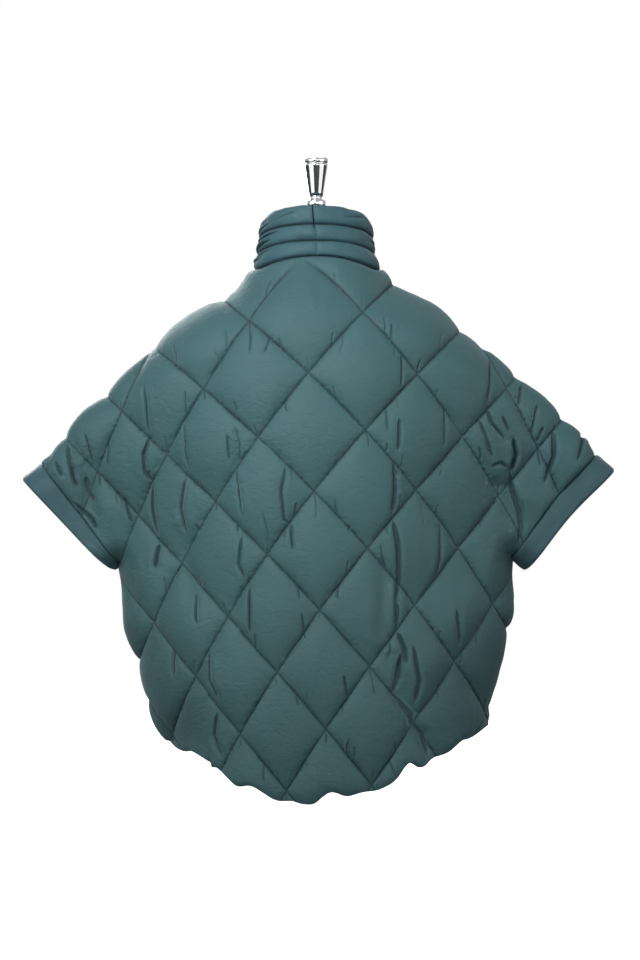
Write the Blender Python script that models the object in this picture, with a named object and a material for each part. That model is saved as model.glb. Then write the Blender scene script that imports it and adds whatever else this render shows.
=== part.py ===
# A quilted batwing cape with a padded stand collar and plain cuff bands, zipped up the
# front and shown on a limbless counter dress form with a turned chrome finial.
# The garment faces -Y, its wearer's left is +X, and the form's foot stands at Z = 0.
# Sizes are in millimetres here and become metres where each object is made.

import math
from bisect import bisect_right

import bmesh
import bpy
from mathutils import Vector

MM = 0.001
SEAM_GAP = 0.3          # clear gap where two sewn pieces meet
WALL = 2.0              # the quilted shell where it is stitched flat
LINING = 1.5            # the plain lining inside it
LINING_EDGE = 0.2       # how far in from a panel's rim the lining's first points stand
PUFF = 13.0             # how far a quilted cell stands above its stitching
PUFF_AT_SEAM = 0.45     # share of the puff that is left where a panel is sewn to the next
SEAM_FADE = 22.0        # distance over which it gets there
ARMPIT_FADE = 75.0      # and the same about the armpit, where the cloth is bunched flat

CUFF_CLEAR = 40.0       # how near the cuff seam the cloth's thickness stops leaning to it
ARMPIT_LIFT = 2.6       # how much shorter the cuff's end is at the armpit than its seam
ZIP_GAP = 10.0          # between the two front edges
ZIP_STEP = 3            # grid rows between the zip's sections
TAPE_HALF = 9.0
TAPE_BACK = 2.0         # how far the tape lies behind the fronts' inner face
CHAIN_HALF = 2.6
CHAIN_OUT = 1.6
SLIDER_DOWN = 14.0      # from the top of the zip to the middle of its slider
SLIDER_THICK = 3.0
PULL_THICK = 1.6
PULL_GAP = 0.6          # so that the pull tab's eye clears the slider as it swings
CUFF_WIDTH = 38.0
CUFF_PUFF = 3.5
CUFF_TAPER = {"left": 0.35, "right": 0.0}
COLLAR_ROLLS = 3
COLLAR_PUFF = 9.0

# The garment's folded-flat outline, seen from the back, from the neck round the shoulder
# to the cuff, along the cuff seam to the armpit and down the side to the hem. A row of
# the panels' grid runs from its left point over the centre to its right point.
STATION_COLUMNS = ("name", "rows", "left_x", "left_z", "right_x", "right_z",
                   "back_z", "front_z", "sag", "rounding")
STATIONS = [dict(zip(STATION_COLUMNS, row)) for row in (
    ("neck", 2, 86, 808, -90, 806, 829, 772, 2.0, 75),
    ("collarbone", 3, 113, 774, -129, 774, 793, 738, 2.0, 75),
    ("shoulder", 3, 168, 743, -179, 743, 750, 700, 1.8, 70),
    ("deltoid", 2, 215, 713, -216, 713, 702, 655, 1.5, 62),
    ("upper_arm", 3, 247, 684, -253, 684, 656, 612, 1.5, 56),
    ("elbow", 3, 302, 625, -317, 625, 602, 566, 1.5, 48),
    ("forearm", 2, 351, 580, -383, 565, 554, 530, 1.5, 42),
    ("cuff_top", 5, 408, 516, -416, 530, 506, 492, 1.5, 38),
    ("cuff_middle", 5, 351, 444, -352, 462, 425, 415, 1.5, 38),
    ("armpit", 4, 294, 372, -288, 394, 340, 335, 1.5, 42),
    ("side", 4, 284, 300, -280, 305, 258, 262, 2.0, 80),
    ("waist", 4, 256, 212, -263, 218, 170, 190, 2.5, 110),
    ("hip", 4, 242, 150, -256, 170, 82, 124, 3.0, 130),
    ("hem", 0, 219, 106, -248, 128, 17, 76, 2.2, 140),
)]
HEM_SKEW = {"back": 0.1, "front": 0.0}    # how far to the left the hem hangs lowest
CUFF_TOP = 7
CUFF_MIDDLE = 8
ARMPIT = 9

# How far the cloth stands from the middle plane: "wing" out in the sleeves, "back" and
# "front" over the body, with "spread" the half width over which one becomes the other.
DEPTH_COLUMNS = ("z", "wing", "back", "front", "spread")
DEPTHS = [dict(zip(DEPTH_COLUMNS, row)) for row in (
    (-20, 102, 190, 180, 220),
    (150, 98, 190, 184, 220),
    (260, 82, 187, 186, 215),
    (360, 50, 182, 186, 205),
    (460, 40, 175, 184, 210),
    (560, 38, 166, 178, 230),
    (640, 40, 156, 160, 232),
    (700, 45, 143, 134, 225),
    (742, 48, 126, 112, 205),
    (775, 52, 106, 93, 185),
    (808, 58, 84, 84, 165),
    (832, 62, 72, 80, 150),
)]
BULGE_POWER = 2.6
BULGE_RATE = 0.9

# Large soft folds, as troughs in the outer cloth from one point to another.
FOLD_COLUMNS = ("side", "x0", "z0", "x1", "z1", "depth", "width")
FOLDS = [dict(zip(FOLD_COLUMNS, row)) for row in (
    ("back", -105, 245, -160, 80, 9, 13),
    ("back", -262, 500, -308, 425, 8, 12),
    ("back", 352, 520, 318, 400, 7, 12),
    ("back", -98, 380, -92, 262, 5, 10),
    ("back", 196, 430, 176, 300, 5, 11),
    ("front", 120, 330, 150, 120, 7, 14),
    ("front", -130, 300, -155, 130, 7, 14),
    ("front", 330, 520, 300, 410, 7, 12),
    ("front", -340, 532, -312, 452, 6, 12),
)]

# Diamond quilting: half of a diamond's width and height on the cloth, where its first
# crossing lies, and how the cloth's drape leans, wraps and droops the pattern.
QUILT_COLUMNS = ("half_wide", "half_tall", "top_z", "first", "tilt", "droop", "lean", "wrap", "stretch")
QUILTS = {
    "back": dict(zip(QUILT_COLUMNS, (84.5, 86.8, 739.0, -1.18, 0.061, 6.2e-4, 0.043, 3.8e-4, 1.45e-6))),
    "front": dict(zip(QUILT_COLUMNS, (84.5, 86.8, 700.0, 0.0, 0.0, 5.0e-4, 0.0, 3.8e-4, 1.45e-6))),
}
DROOP_FADE = 556.0      # the droop is gone this far below the first crossing
SNAP = 0.3             # a grid point moves this share of its spacing to reach a stitch line

BACK_COLUMNS = 44
FRONT_COLUMNS = 22
EDGE_CROWDING = 0.4     # how much closer the grid's columns stand at a rounded edge

# The collar from its neck seam to its top edge: half width, back and front reach, and
# the height of its back and front.
COLLAR_COLUMNS = ("up", "half_wide", "back", "front", "back_z", "front_z", "side_z")
COLLAR = [dict(zip(COLLAR_COLUMNS, row)) for row in (
    (0.00, 84, 71, 86, 829, 772, 808),
    (0.33, 79, 70, 80, 854, 800, 834),
    (0.67, 78, 69, 77, 880, 829, 861),
    (1.00, 70, 64, 70, 907, 860, 890),
)]
COLLAR_RINGS = 12
COLLAR_STEPS = BACK_COLUMNS // 2 + FRONT_COLUMNS

# The dress form's torso from its hip to the top of its neck.
TORSO_COLUMNS = ("z", "half_wide", "back", "front")
TORSO = [dict(zip(TORSO_COLUMNS, row)) for row in (
    (130, 158, 98, 92),
    (180, 166, 108, 96),
    (250, 150, 98, 90),
    (330, 124, 84, 84),
    (400, 130, 90, 92),
    (480, 146, 104, 112),
    (560, 164, 118, 128),
    (630, 178, 124, 120),
    (690, 184, 118, 104),
    (720, 185, 108, 92),
    (740, 164.5, 98, 80),
    (760, 128.5, 88, 72),
    (785, 86, 76, 64),
    (815, 66, 66, 60),
    (850, 58, 60, 57),
    (878, 56, 56, 56),
)]
TORSO_STEPS = 26

# Chrome and foot, as half profiles of radius and height.
CAP_PROFILE = ((0, 878.3), (55, 878.3), (55, 882), (46, 888), (26, 891.5), (0, 891.5))
FINIAL_PROFILE = ((0, 891.8), (10, 891.8), (10, 903), (14.5, 905), (14.5, 914), (9, 916),
                  (8.5, 919), (10.5, 921), (14, 945), (17.6, 968), (15.5, 970), (17.8, 972),
                  (17.8, 977), (12, 979), (0, 979))
POLE_RADIUS = 16.0
BASE_RADIUS = 120.0
BASE_THICK = 8.0
TORSO_FOOT = TORSO[0]["z"]

COLOURS = {
    "shell": ((0.052, 0.105, 0.112), 0.45, 0.0),
    "trim": ((0.055, 0.105, 0.130), 0.5, 0.0),
    "zip": ((0.02, 0.04, 0.045), 0.5, 0.0),
    "metal": ((0.82, 0.83, 0.84), 0.12, 1.0),
    "linen": ((0.72, 0.68, 0.60), 0.85, 0.0),
    "white": ((0.86, 0.86, 0.85), 0.4, 0.0),
}


def monotone(xs, ys, x):
    # A smooth curve through the points that never swings past them.
    if x <= xs[0]:
        return ys[0]
    if x >= xs[-1]:
        return ys[-1]
    i = bisect_right(xs, x) - 1
    slopes = [(ys[k + 1] - ys[k]) / (xs[k + 1] - xs[k]) for k in range(len(xs) - 1)]

    def tangent(k):
        if k == 0:
            return slopes[0]
        if k == len(xs) - 1:
            return slopes[-1]
        a, b = slopes[k - 1], slopes[k]
        return 0.0 if a * b <= 0 else 2 * a * b / (a + b)

    h = xs[i + 1] - xs[i]
    t = (x - xs[i]) / h
    return ((1 + 2 * t) * (1 - t) ** 2 * ys[i] + t * (1 - t) ** 2 * h * tangent(i)
            + t * t * (3 - 2 * t) * ys[i + 1] - t * t * (1 - t) * h * tangent(i + 1))


def read(table, key, column, at):
    return monotone([row[key] for row in table], [row[column] for row in table], at)


def station(column, s, corners=False):
    # A column of the outline's table at place s, counted in stations. The outline itself
    # turns sharply at the cuff's two ends, so each of its three stretches is a curve.
    first, last = 0, len(STATIONS) - 1
    if corners:
        if s <= CUFF_TOP:
            last = CUFF_TOP
        elif s <= ARMPIT:
            first, last = CUFF_TOP, ARMPIT
        else:
            first = ARMPIT
    places = list(range(first, last + 1))
    return monotone(places, [STATIONS[k][column] for k in places], s)


def row_places(crowd):
    # The place of each grid row, if asked closer together at the cuff seam's two ends.
    places = []
    for k, at in enumerate(STATIONS[:-1]):
        for n in range(at["rows"]):
            t = n / at["rows"]
            if crowd and k == CUFF_TOP:
                t = 1 - math.cos(t * math.pi / 2)
            elif crowd and k == CUFF_MIDDLE:
                t = math.sin(t * math.pi / 2)
            places.append(k + t)
    return places + [len(STATIONS) - 1.0]


ROWS = row_places(True)
MIDDLES = row_places(False)


def sheet_point(row, across, side):
    # The point of the flat outline at a row, from 1 at its left edge to -1 at its right.
    s, inner = ROWS[row], MIDDLES[row]
    left = Vector((station("left_x", s, True), station("left_z", s, True)))
    right = Vector((station("right_x", s, True), station("right_z", s, True)))
    edge = left.lerp(right, (1 - across) / 2)
    mean = (station("left_z", inner, True) + station("right_z", inner, True)) / 2
    skew = HEM_SKEW[side] * max(0.0, (s - ARMPIT) / (len(STATIONS) - 1 - ARMPIT))
    bent = across - skew * (1 - across * across)
    rise = max(0.0, 1 - bent * bent) ** (station("sag", s) / 2)
    settle = (mean - (left.y + right.y) / 2) * (1 - across ** 2)
    return edge.x, edge.y + settle + (station(side + "_z", inner) - mean) * rise


CLOSED_STEPS = 6


def closed_edges():
    # The outline's sewn stretches, as (x, z, rounding) points: both shoulders and sides.
    runs = []
    for hand in ("left", "right"):
        for first, last in ((0, CUFF_TOP), (ARMPIT, len(STATIONS) - 1)):
            run = []
            for n in range((last - first) * CLOSED_STEPS + 1):
                s = first + n / CLOSED_STEPS
                if first and n == 0:
                    s += 1e-6
                run.append((station(hand + "_x", s, True), station(hand + "_z", s, True),
                            station("rounding", s)))
            runs.append(run)
    return runs


CLOSED = closed_edges()


def roundness(x, z):
    # From 0 on a sewn edge to 1 where the cloth has turned fully onto its face.
    best, radius = 1e9, 1.0
    for run in CLOSED:
        for (ax, az, ar), (bx, bz, br) in zip(run, run[1:]):
            dx, dz = bx - ax, bz - az
            t = max(0.0, min(1.0, ((x - ax) * dx + (z - az) * dz) / (dx * dx + dz * dz)))
            gap = math.hypot(x - ax - t * dx, z - az - t * dz)
            if gap < best:
                best, radius = gap, ar + t * (br - ar)
    share = min(1.0, best / radius)
    return math.sqrt(max(0.0, 1 - (1 - share) ** 2))


def depth(x, z, side):
    # How far the inner face of the cloth stands from the middle plane.
    wing = read(DEPTHS, "z", "wing", z)
    body = read(DEPTHS, "z", side, z)
    spread = read(DEPTHS, "z", "spread", z)
    bulge = math.exp(-BULGE_RATE * (abs(x) / spread) ** BULGE_POWER)
    return (wing + (body - wing) * bulge) * roundness(x, z)


def quilt_lines(x, z, side):
    # Where the point lies between the two families of stitch lines; a whole number is on
    # a line.
    q = QUILTS[side]
    down = q["top_z"] - z
    flat = (x + q["lean"] * down) / (1 - q["wrap"] * down)
    across = (flat + q["stretch"] * flat ** 3) / q["half_wide"] + q["first"]
    droop = q["droop"] * max(0.0, min(1.0, 1 - down / DROOP_FADE))
    along = (down - q["tilt"] * x - droop * x * x) / q["half_tall"]
    return (along + across) / 2, (along - across) / 2


def snapped(x, z, side, most):
    # Moves a grid point onto the stitch lines that are close to it, but never further
    # than most, so that the grid keeps its order.
    step = 1.0
    for _ in range(2):
        for family in (0, 1):
            at = quilt_lines(x, z, side)[family]
            gx = (quilt_lines(x + step, z, side)[family] - at) / step
            gz = (quilt_lines(x, z + step, side)[family] - at) / step
            slope = math.hypot(gx, gz)
            off = (at - round(at)) / slope
            if abs(off) < most:
                x -= off * gx / slope
                z -= off * gz / slope
                most -= abs(off)
    return x, z


def puff(x, z, side):
    # Height of the quilted cell above its stitching, less the large folds.
    a, b = quilt_lines(x, z, side)
    cell = abs(math.sin(math.pi * a)) * abs(math.sin(math.pi * b))
    height = PUFF * cell ** 0.6
    for fold in FOLDS:
        if fold["side"] == side:
            dx, dz = fold["x1"] - fold["x0"], fold["z1"] - fold["z0"]
            run = dx * dx + dz * dz
            t = max(0.0, min(1.0, ((x - fold["x0"]) * dx + (z - fold["z0"]) * dz) / run))
            away = math.hypot(x - fold["x0"] - t * dx, z - fold["z0"] - t * dz)
            height -= fold["depth"] * math.exp(-(away / fold["width"]) ** 2) * math.sin(math.pi * t) ** 0.5
    return max(0.0, height)


def crowded(t):
    # Spreads grid columns over -1 to 1, closer together at both ends.
    return (1 - EDGE_CROWDING) * (1 - 2 * t) + EDGE_CROWDING * math.cos(math.pi * t)


def collection_for(name):
    found = bpy.data.collections.new(name)
    bpy.context.scene.collection.children.link(found)
    return found


def material_for(name):
    colour, roughness, metallic = COLOURS[name]
    made = bpy.data.materials.get(name) or bpy.data.materials.new(name)
    made.use_nodes = True
    shader = made.node_tree.nodes["Principled BSDF"]
    shader.inputs["Base Color"].default_value = (*colour, 1)
    shader.inputs["Roughness"].default_value = roughness
    shader.inputs["Metallic"].default_value = metallic
    return made


def finish(bm, name, material, smooth=True):
    # Turns a bmesh in millimetres into a named object in metres.
    bmesh.ops.recalc_face_normals(bm, faces=bm.faces)
    bmesh.ops.scale(bm, verts=bm.verts, vec=(MM, MM, MM))
    mesh = bpy.data.meshes.new(name)
    bm.to_mesh(mesh)
    bm.free()
    if smooth:
        mesh.shade_smooth()
    mesh.materials.append(material_for(material))
    made = bpy.data.objects.new(name, mesh)
    GARMENT.objects.link(made)
    return made


def grid(bm, columns, rows, place):
    # A grid whose point (column, row) is put where place says; returns its points by row.
    made = bmesh.ops.create_grid(bm, x_segments=columns, y_segments=rows, size=1)["verts"]
    for n, vert in enumerate(made):
        vert.co = place(n % (columns + 1), n // (columns + 1))
    return [made[r * (columns + 1):(r + 1) * (columns + 1)] for r in range(rows + 1)]


def face_outward(bm, sample, direction):
    # Turns an open sheet's faces so that the sample point's normal follows the direction.
    bmesh.ops.recalc_face_normals(bm, faces=bm.faces)
    bm.normal_update()
    if sample.normal.dot(direction) < 0:
        bmesh.ops.reverse_faces(bm, faces=bm.faces)
        bm.normal_update()


def panel_across(hand, s, t):
    # Place across row s, from -1 to 1, of a panel's column at share t.
    if hand == "back":
        return crowded(t)
    left, right = station("left_x", s, True), station("right_x", s, True)
    middle, half = (left + right) / 2, (left - right) / 2
    if hand == "left":
        inner = (ZIP_GAP / 2 - middle) / half
        return inner + (1 - inner) * crowded(t / 2)
    inner = (-ZIP_GAP / 2 - middle) / half
    return inner + (-1 - inner) * -crowded(0.5 + t / 2)


def panel_skin(bm, hand, columns, picked, snap):
    # One skin of a panel on the inner face's surface, through the picked rows. Columns run
    # from the left edge.
    side = "back" if hand == "back" else "front"
    sign = 1 if side == "back" else -1
    rows = len(picked) - 1
    flat = []
    for r in picked:
        across = [panel_across(hand, ROWS[r], n / columns) for n in range(columns + 1)]
        flat.append([sheet_point(r, share, side) for share in across])

    def place(column, row):
        x, z = flat[row][column]
        if snap and 0 < column < columns and 0 < row < rows:
            around = (flat[row - 1][column], flat[row + 1][column],
                      flat[row][column - 1], flat[row][column + 1])
            spacing = min(math.hypot(x - px, z - pz) for px, pz in around)
            x, z = snapped(x, z, side, SNAP * spacing)
        sewn_flat = (hand != "right" and column == 0) or (hand != "left" and column == columns)
        if sewn_flat and not CUFF_TOP < ROWS[picked[row]] < ARMPIT:
            return Vector((x, sign * SEAM_GAP / 2, z))
        return Vector((x, sign * (depth(x, z, side) + SEAM_GAP / 2), z))

    return grid(bm, columns, rows, place)


def seam_fade(points, hand, row, column):
    # 0 on a sewn edge of the panel to 1 inside it. The hem and the zip edges are sewn too.
    here = points[row][column].co
    edges = [points[0][column], points[-1][column], points[row][0], points[row][-1]]
    near = min((here - edge.co).length for edge in edges)
    neck = min((here - vert.co).length for vert in points[0])
    armpit = points[ROWS.index(ARMPIT)]
    pit = min((here - armpit[end].co).length for end in (0, -1)) - ARMPIT_FADE / 3
    fade = PUFF_AT_SEAM + (1 - PUFF_AT_SEAM) * min(1.0, near / SEAM_FADE)
    return max(0.0, min(fade, neck / SEAM_FADE, pit / ARMPIT_FADE))


def cuff_direction(hand):
    # The way a sleeve points: in the middle plane, square to its cuff seam.
    top, end = STATIONS[CUFF_TOP], STATIONS[ARMPIT]
    along = Vector((end[hand + "_x"] - top[hand + "_x"], 0, end[hand + "_z"] - top[hand + "_z"]))
    sign = 1 if hand == "left" else -1
    return Vector((-along.z, 0, along.x)).normalized() * sign


def close_edges(bm, points, base):
    # Turns the outer skin's rim in to the inner face, point for point.
    inner = {}
    for row, places in zip(points, base):
        inner.update(zip(row, places))
    rim = [edge for edge in bm.edges if edge.is_boundary]
    rim_points = {vert for edge in rim for vert in edge.verts}
    made = bmesh.ops.extrude_edge_only(bm, edges=rim)["geom"]
    for vert in [item for item in made if isinstance(item, bmesh.types.BMVert)]:
        partner = next(edge.other_vert(vert) for edge in vert.link_edges
                       if edge.other_vert(vert) in rim_points)
        vert.co = inner[partner]


def slack_lining(lining, base, outward):
    # Draws the coarse lining in, further where its flat facets would cut the cloth.
    moves = []
    around = [(i, j) for i in (-1, 0, 1) for j in (-1, 0, 1) if i or j]
    for r in range(1, len(lining) - 1):
        for c in range(1, len(lining[0]) - 1):
            worst = 0.0
            for i, j in around:
                chord = (lining[r][c].co + lining[r + i][c + j].co) / 2
                between = base[2 * r + i][2 * c + j]
                worst = max(worst, (chord - between).dot(outward[2 * r + i][2 * c + j]))
            moves.append((lining[r][c], outward[2 * r][2 * c] * (LINING + worst)))
    for vert, inset in moves:
        vert.co -= inset
    last_row, last_column = len(lining) - 1, len(lining[0]) - 1
    for r, row in enumerate(lining):
        for c, vert in enumerate(row):
            if r in (0, last_row) or c in (0, last_column):
                inner = lining[min(max(r, 1), last_row - 1)][min(max(c, 1), last_column - 1)]
                vert.co = vert.co.lerp(inner.co, LINING_EDGE)


def clear_of_cuff(base, outward, hand, r, c):
    # Keeps the cloth's thickness from leaning past the cuff seam next to it.
    if not CUFF_TOP <= ROWS[r] <= ARMPIT:
        return outward[r][c]
    turned = outward[r][c].copy()
    for edge, sleeve in ((0, "left"), (-1, "right")):
        if hand in ("back", sleeve):
            out = cuff_direction(sleeve)
            inside = (base[r][edge] - base[r][c]).dot(out)
            share = max(0.0, 1 - inside / CUFF_CLEAR)
            turned -= out * max(0.0, turned.dot(out)) * share
            turned.y += math.copysign(0.4, base[r][c].y) * share
    return turned.normalized()


def edge_normal(base, outward, hand, r, c):
    # The way a panel's side edge faces, the same for both pieces sewn together there.
    if (hand == "left" and c) or (hand == "right" and c == 0):
        return Vector((0, outward[r][c].y, outward[r][c].z)).normalized()
    sign = 1 if c == 0 else -1
    before, after = base[max(0, r - 1)][c], base[min(len(ROWS) - 1, r + 1)][c]
    if CUFF_TOP < ROWS[r] < ARMPIT:
        square = (after - before).cross(cuff_direction("left" if c == 0 else "right"))
        return square.normalized() * (1 if square.y * base[r][c].y > 0 else -1)
    if ROWS[r] in (CUFF_TOP, ARMPIT):
        out = cuff_direction("left" if c == 0 else "right")
        down = 1 if ROWS[r] == ARMPIT else -1
        return Vector((out.z, 0, -out.x)) * down * sign
    along = after - before
    return Vector((-along.z, 0, along.x)).normalized() * sign


def make_panel(name, hand, columns):
    # A quilted wall: the outer skin is raised over a plain, coarser inner skin.
    side = "back" if hand == "back" else "front"
    bm = bmesh.new()
    points = panel_skin(bm, hand, columns, range(len(ROWS)), True)
    face_outward(bm, points[len(ROWS) // 2][columns // 2], Vector((0, 1 if side == "back" else -1, 0)))
    base = [[vert.co.copy() for vert in row] for row in points]
    outward = [[vert.normal.copy() for vert in row] for row in points]
    for r in range(len(ROWS)):
        for c in range(1, columns):
            outward[r][c] = clear_of_cuff(base, outward, hand, r, c)
        for c in (0, columns):
            outward[r][c] = edge_normal(base, outward, hand, r, c)
    corner = ROWS.index(ARMPIT)
    for sleeve, c in (("left", 0), ("right", columns)):
        if hand in ("back", sleeve):
            # the thickness of the sleeve's underside meets that of the body's side
            out = cuff_direction(sleeve)
            under, beside = outward[corner][c], outward[corner + 1][c]
            outward[corner][c] = under + out * ((1 - under.dot(beside)) / out.dot(beside))
    fades = [[seam_fade(points, hand, r, c) for c in range(columns + 1)] for r in range(len(ROWS))]
    for r, row in enumerate(points):
        for c, vert in enumerate(row):
            x, z = base[r][c].x, base[r][c].z
            vert.co = base[r][c] + outward[r][c] * (WALL + puff(x, z, side) * fades[r][c])
    close_edges(bm, points, base)
    lining = panel_skin(bm, hand, columns // 2, range(0, len(ROWS), 2), False)
    slack_lining(lining, base, outward)
    bmesh.ops.bridge_loops(bm, edges=[e for e in bm.edges if e.is_boundary])
    finish(bm, name, "shell")
    return base, outward


def ring_mesh(bm, loops, closed):
    # Skins a list of equally long point loops; the last joins the first if closed.
    columns = len(loops[0])
    rows = len(loops) if closed else len(loops) - 1
    points = grid(bm, columns, rows, lambda c, r: loops[r % len(loops)][c % columns])
    ends = [points[0][:-1], points[-1][:-1]]
    if not closed:
        for end in ends:
            bm.faces.new(end)
    bmesh.ops.remove_doubles(bm, verts=bm.verts, dist=0.001)


def neck_ring(panels):
    # The panels' neck edge from the back's centre round both sides, as (point, outward,
    # along the cloth and away from the panel).
    ring = {}
    for key, (base, outward) in panels.items():
        ring[key] = []
        for c, here in enumerate(base[0]):
            tangent = base[0][min(c + 1, len(base[0]) - 1)] - base[0][max(c - 1, 0)]
            up = tangent.cross(outward[0][c]).normalized()
            ring[key].append((here, outward[0][c], up * (1 if up.z > 0 else -1)))
    return ring


def collar_path(ring, hand):
    # Neck-edge points of half the collar, from the centre back to the zip.
    half = len(ring["back"]) // 2
    if hand == "left":
        path = ring["back"][half::-1] + ring["left"][1:]
    else:
        path = ring["back"][half:] + ring["right"][-2::-1]
    return path


def make_collar(name, hand, ring):
    # Half of the stand collar: three padded rolls over a plain inner face.
    sign = 1 if hand == "left" else -1
    path = collar_path(ring, hand)
    bm = bmesh.new()
    turns = []
    for foot, _, _ in path:
        reach = COLLAR[0]["back" if foot.y > 0 else "front"]
        turns.append(math.atan2(abs(foot.x) / COLLAR[0]["half_wide"], foot.y / reach))

    def base_point(column, up):
        turn = turns[column]
        back = (1 + math.cos(turn)) / 2
        reach = read(COLLAR, "up", "back" if turn < math.pi / 2 else "front", up)
        ends = back * read(COLLAR, "up", "back_z", up) + (1 - back) * read(COLLAR, "up", "front_z", up)
        side = read(COLLAR, "up", "side_z", up)
        level = (read(COLLAR, "up", "back_z", up) + read(COLLAR, "up", "front_z", up)) / 2
        height = ends + (side - level) * math.sin(turn) ** 2
        ideal = Vector((sign * read(COLLAR, "up", "half_wide", up) * math.sin(turn),
                        reach * math.cos(turn), height))
        foot, _, along = path[column]
        foot = foot + along * SEAM_GAP
        start = Vector((sign * read(COLLAR, "up", "half_wide", 0) * math.sin(turn),
                        (read(COLLAR, "up", "back" if turn < math.pi / 2 else "front", 0)) * math.cos(turn),
                        back * COLLAR[0]["back_z"] + (1 - back) * COLLAR[0]["front_z"]
                        + (COLLAR[0]["side_z"] - (COLLAR[0]["back_z"] + COLLAR[0]["front_z"]) / 2)
                        * math.sin(turn) ** 2))
        keep = max(0.0, 1 - up * 1.5) ** 2
        point = ideal + (foot - start) * keep
        # the centre-back edge and the zip edge are flat, half a gap from the middle
        edge = SEAM_GAP / 2 if column == 0 else ZIP_GAP / 2 if column == COLLAR_STEPS else None
        if edge is not None:
            point.x = sign * edge
        return point

    def place(rings):
        return lambda column, row: base_point(column, row / rings)

    points = grid(bm, COLLAR_STEPS, COLLAR_RINGS, place(COLLAR_RINGS))
    face_outward(bm, points[COLLAR_RINGS // 2][COLLAR_STEPS // 2], Vector((sign, 0, 0)))
    moved = []
    for row, ring_points in enumerate(points):
        up = row / COLLAR_RINGS
        for column, vert in enumerate(ring_points):
            normal = vert.normal.copy()
            if column in (0, COLLAR_STEPS):
                normal.x = 0
                normal.normalize()
            if row == 0:
                normal = path[column][1].copy()
            roll = abs(math.sin(math.pi * COLLAR_ROLLS * up)) ** 0.6
            ends = min(1.0, 0.35 + 0.65 * min(column, COLLAR_STEPS - column) / 2)
            moved.append((vert, vert.co + normal * (WALL + COLLAR_PUFF * roll * ends)))
    for vert, co in moved:
        vert.co = co
    grid(bm, COLLAR_STEPS, COLLAR_ROLLS, place(COLLAR_ROLLS))
    bmesh.ops.bridge_loops(bm, edges=[e for e in bm.edges if e.is_boundary])
    finish(bm, name, "trim")
    return [base_point(COLLAR_STEPS, row / COLLAR_RINGS) for row in range(COLLAR_RINGS + 1)]


def make_cuff(name, hand, panels):
    # A plain band sewn round the sleeve's end: a closed ring with a slightly padded face.
    column = {"left": {"back": 0, "front": 0}, "right": {"back": -1, "front": -1}}[hand]
    front_base, front_out = panels[hand]
    back_base, back_out = panels["back"]
    out = cuff_direction(hand)
    rows = [k for k, s in enumerate(ROWS) if CUFF_TOP <= s <= ARMPIT]
    seam = [(back_base[r][column["back"]], back_out[r][column["back"]], 0) for r in rows]
    seam += [(front_base[r][column["front"]], front_out[r][column["front"]], 0) for r in reversed(rows)]
    for end in (len(rows) - 1, len(rows)):
        here, mitre, _ = seam[end]
        past = mitre.dot(out)
        under = mitre - out * past
        seam[end] = (here - under * ARMPIT_LIFT, under, past * WALL)
    sides = ((0.0, SEAM_GAP * 1.2, WALL), (0.33, 0, WALL + CUFF_PUFF), (0.75, 0, WALL + CUFF_PUFF),
             (1.0, 0, WALL), (1.0, 0, 0.0), (0.5, 0, 0.0), (0.0, SEAM_GAP * 1.2, 0.0))
    loops = []
    for share, gap, lift in sides:
        loop = []
        for n, (here, normal, past) in enumerate(seam):
            down = min(n, len(seam) - 1 - n) / (len(rows) - 1)
            width = CUFF_WIDTH * (1 - CUFF_TAPER[hand] * down ** 1.5)
            reach = share * width if share else gap + past
            loop.append(here + out * reach + normal * lift)
        loops.append(loop)
    bm = bmesh.new()
    ring_mesh(bm, loops, True)
    finish(bm, name, "trim")


def zip_frames(front, collar_edge):
    # Places up the centre front, each with the direction out of the cloth there.
    edge = [row[-1] for row in reversed(front)][::ZIP_STEP] + collar_edge[1::ZIP_STEP]
    path = [Vector((0, here.y, here.z)) for here in edge]
    frames = []
    for n, here in enumerate(path):
        along = (path[min(n + 1, len(path) - 1)] - path[max(n - 1, 0)]).normalized()
        frames.append((here, Vector((0, -along.z, along.y)), along))
    return frames


def make_zip(frames):
    # The closed zip: a flat tape just inside the front edges with its chain between them.
    profile = ((-TAPE_HALF, -TAPE_BACK - 1), (TAPE_HALF, -TAPE_BACK - 1), (TAPE_HALF, -TAPE_BACK),
               (CHAIN_HALF, -TAPE_BACK), (CHAIN_HALF, CHAIN_OUT), (-CHAIN_HALF, CHAIN_OUT),
               (-CHAIN_HALF, -TAPE_BACK), (-TAPE_HALF, -TAPE_BACK))
    loops = [[here + Vector((x, 0, 0)) + outward * lift for x, lift in profile]
             for here, outward, _ in frames]
    bm = bmesh.new()
    ring_mesh(bm, loops, False)
    finish(bm, "zip", "zip")


def bar(bm, foot, outward, along, outline, low, high):
    # A flat piece: its outline, in x and along the zip, stands from low to high off the cloth.
    loops = [[foot + Vector((x, 0, 0)) + along * up + outward * lift for x, up in outline]
             for lift in (low, high)]
    ring_mesh(bm, loops, False)


def make_slider(frames):
    # The slider at the top of the closed zip, and its pull tab hanging from an eye.
    foot, outward, along = frames[-1]
    foot = foot - along * SLIDER_DOWN
    low = CHAIN_OUT + SEAM_GAP
    bm = bmesh.new()
    bar(bm, foot, outward, along, ((-4.4, 6), (-2.6, -7), (2.6, -7), (4.4, 6), (2.8, 8), (-2.8, 8)),
        low, low + SLIDER_THICK)
    finish(bm, "zip_slider", "metal", False)
    bm = bmesh.new()
    low += SLIDER_THICK + PULL_GAP
    bar(bm, foot, outward, along, ((-2.5, 3.5), (-3.2, -23), (-1.8, -26), (1.8, -26), (3.2, -23),
                                   (2.5, 3.5), (1.2, 4.2), (-1.2, 4.2)), low, low + PULL_THICK)
    finish(bm, "zip_pull", "metal", False)
    hinge = foot + along * 3.5 + outward * (low + PULL_THICK / 2)
    print("pull hinge", [round(part, 2) for part in hinge])


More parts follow.
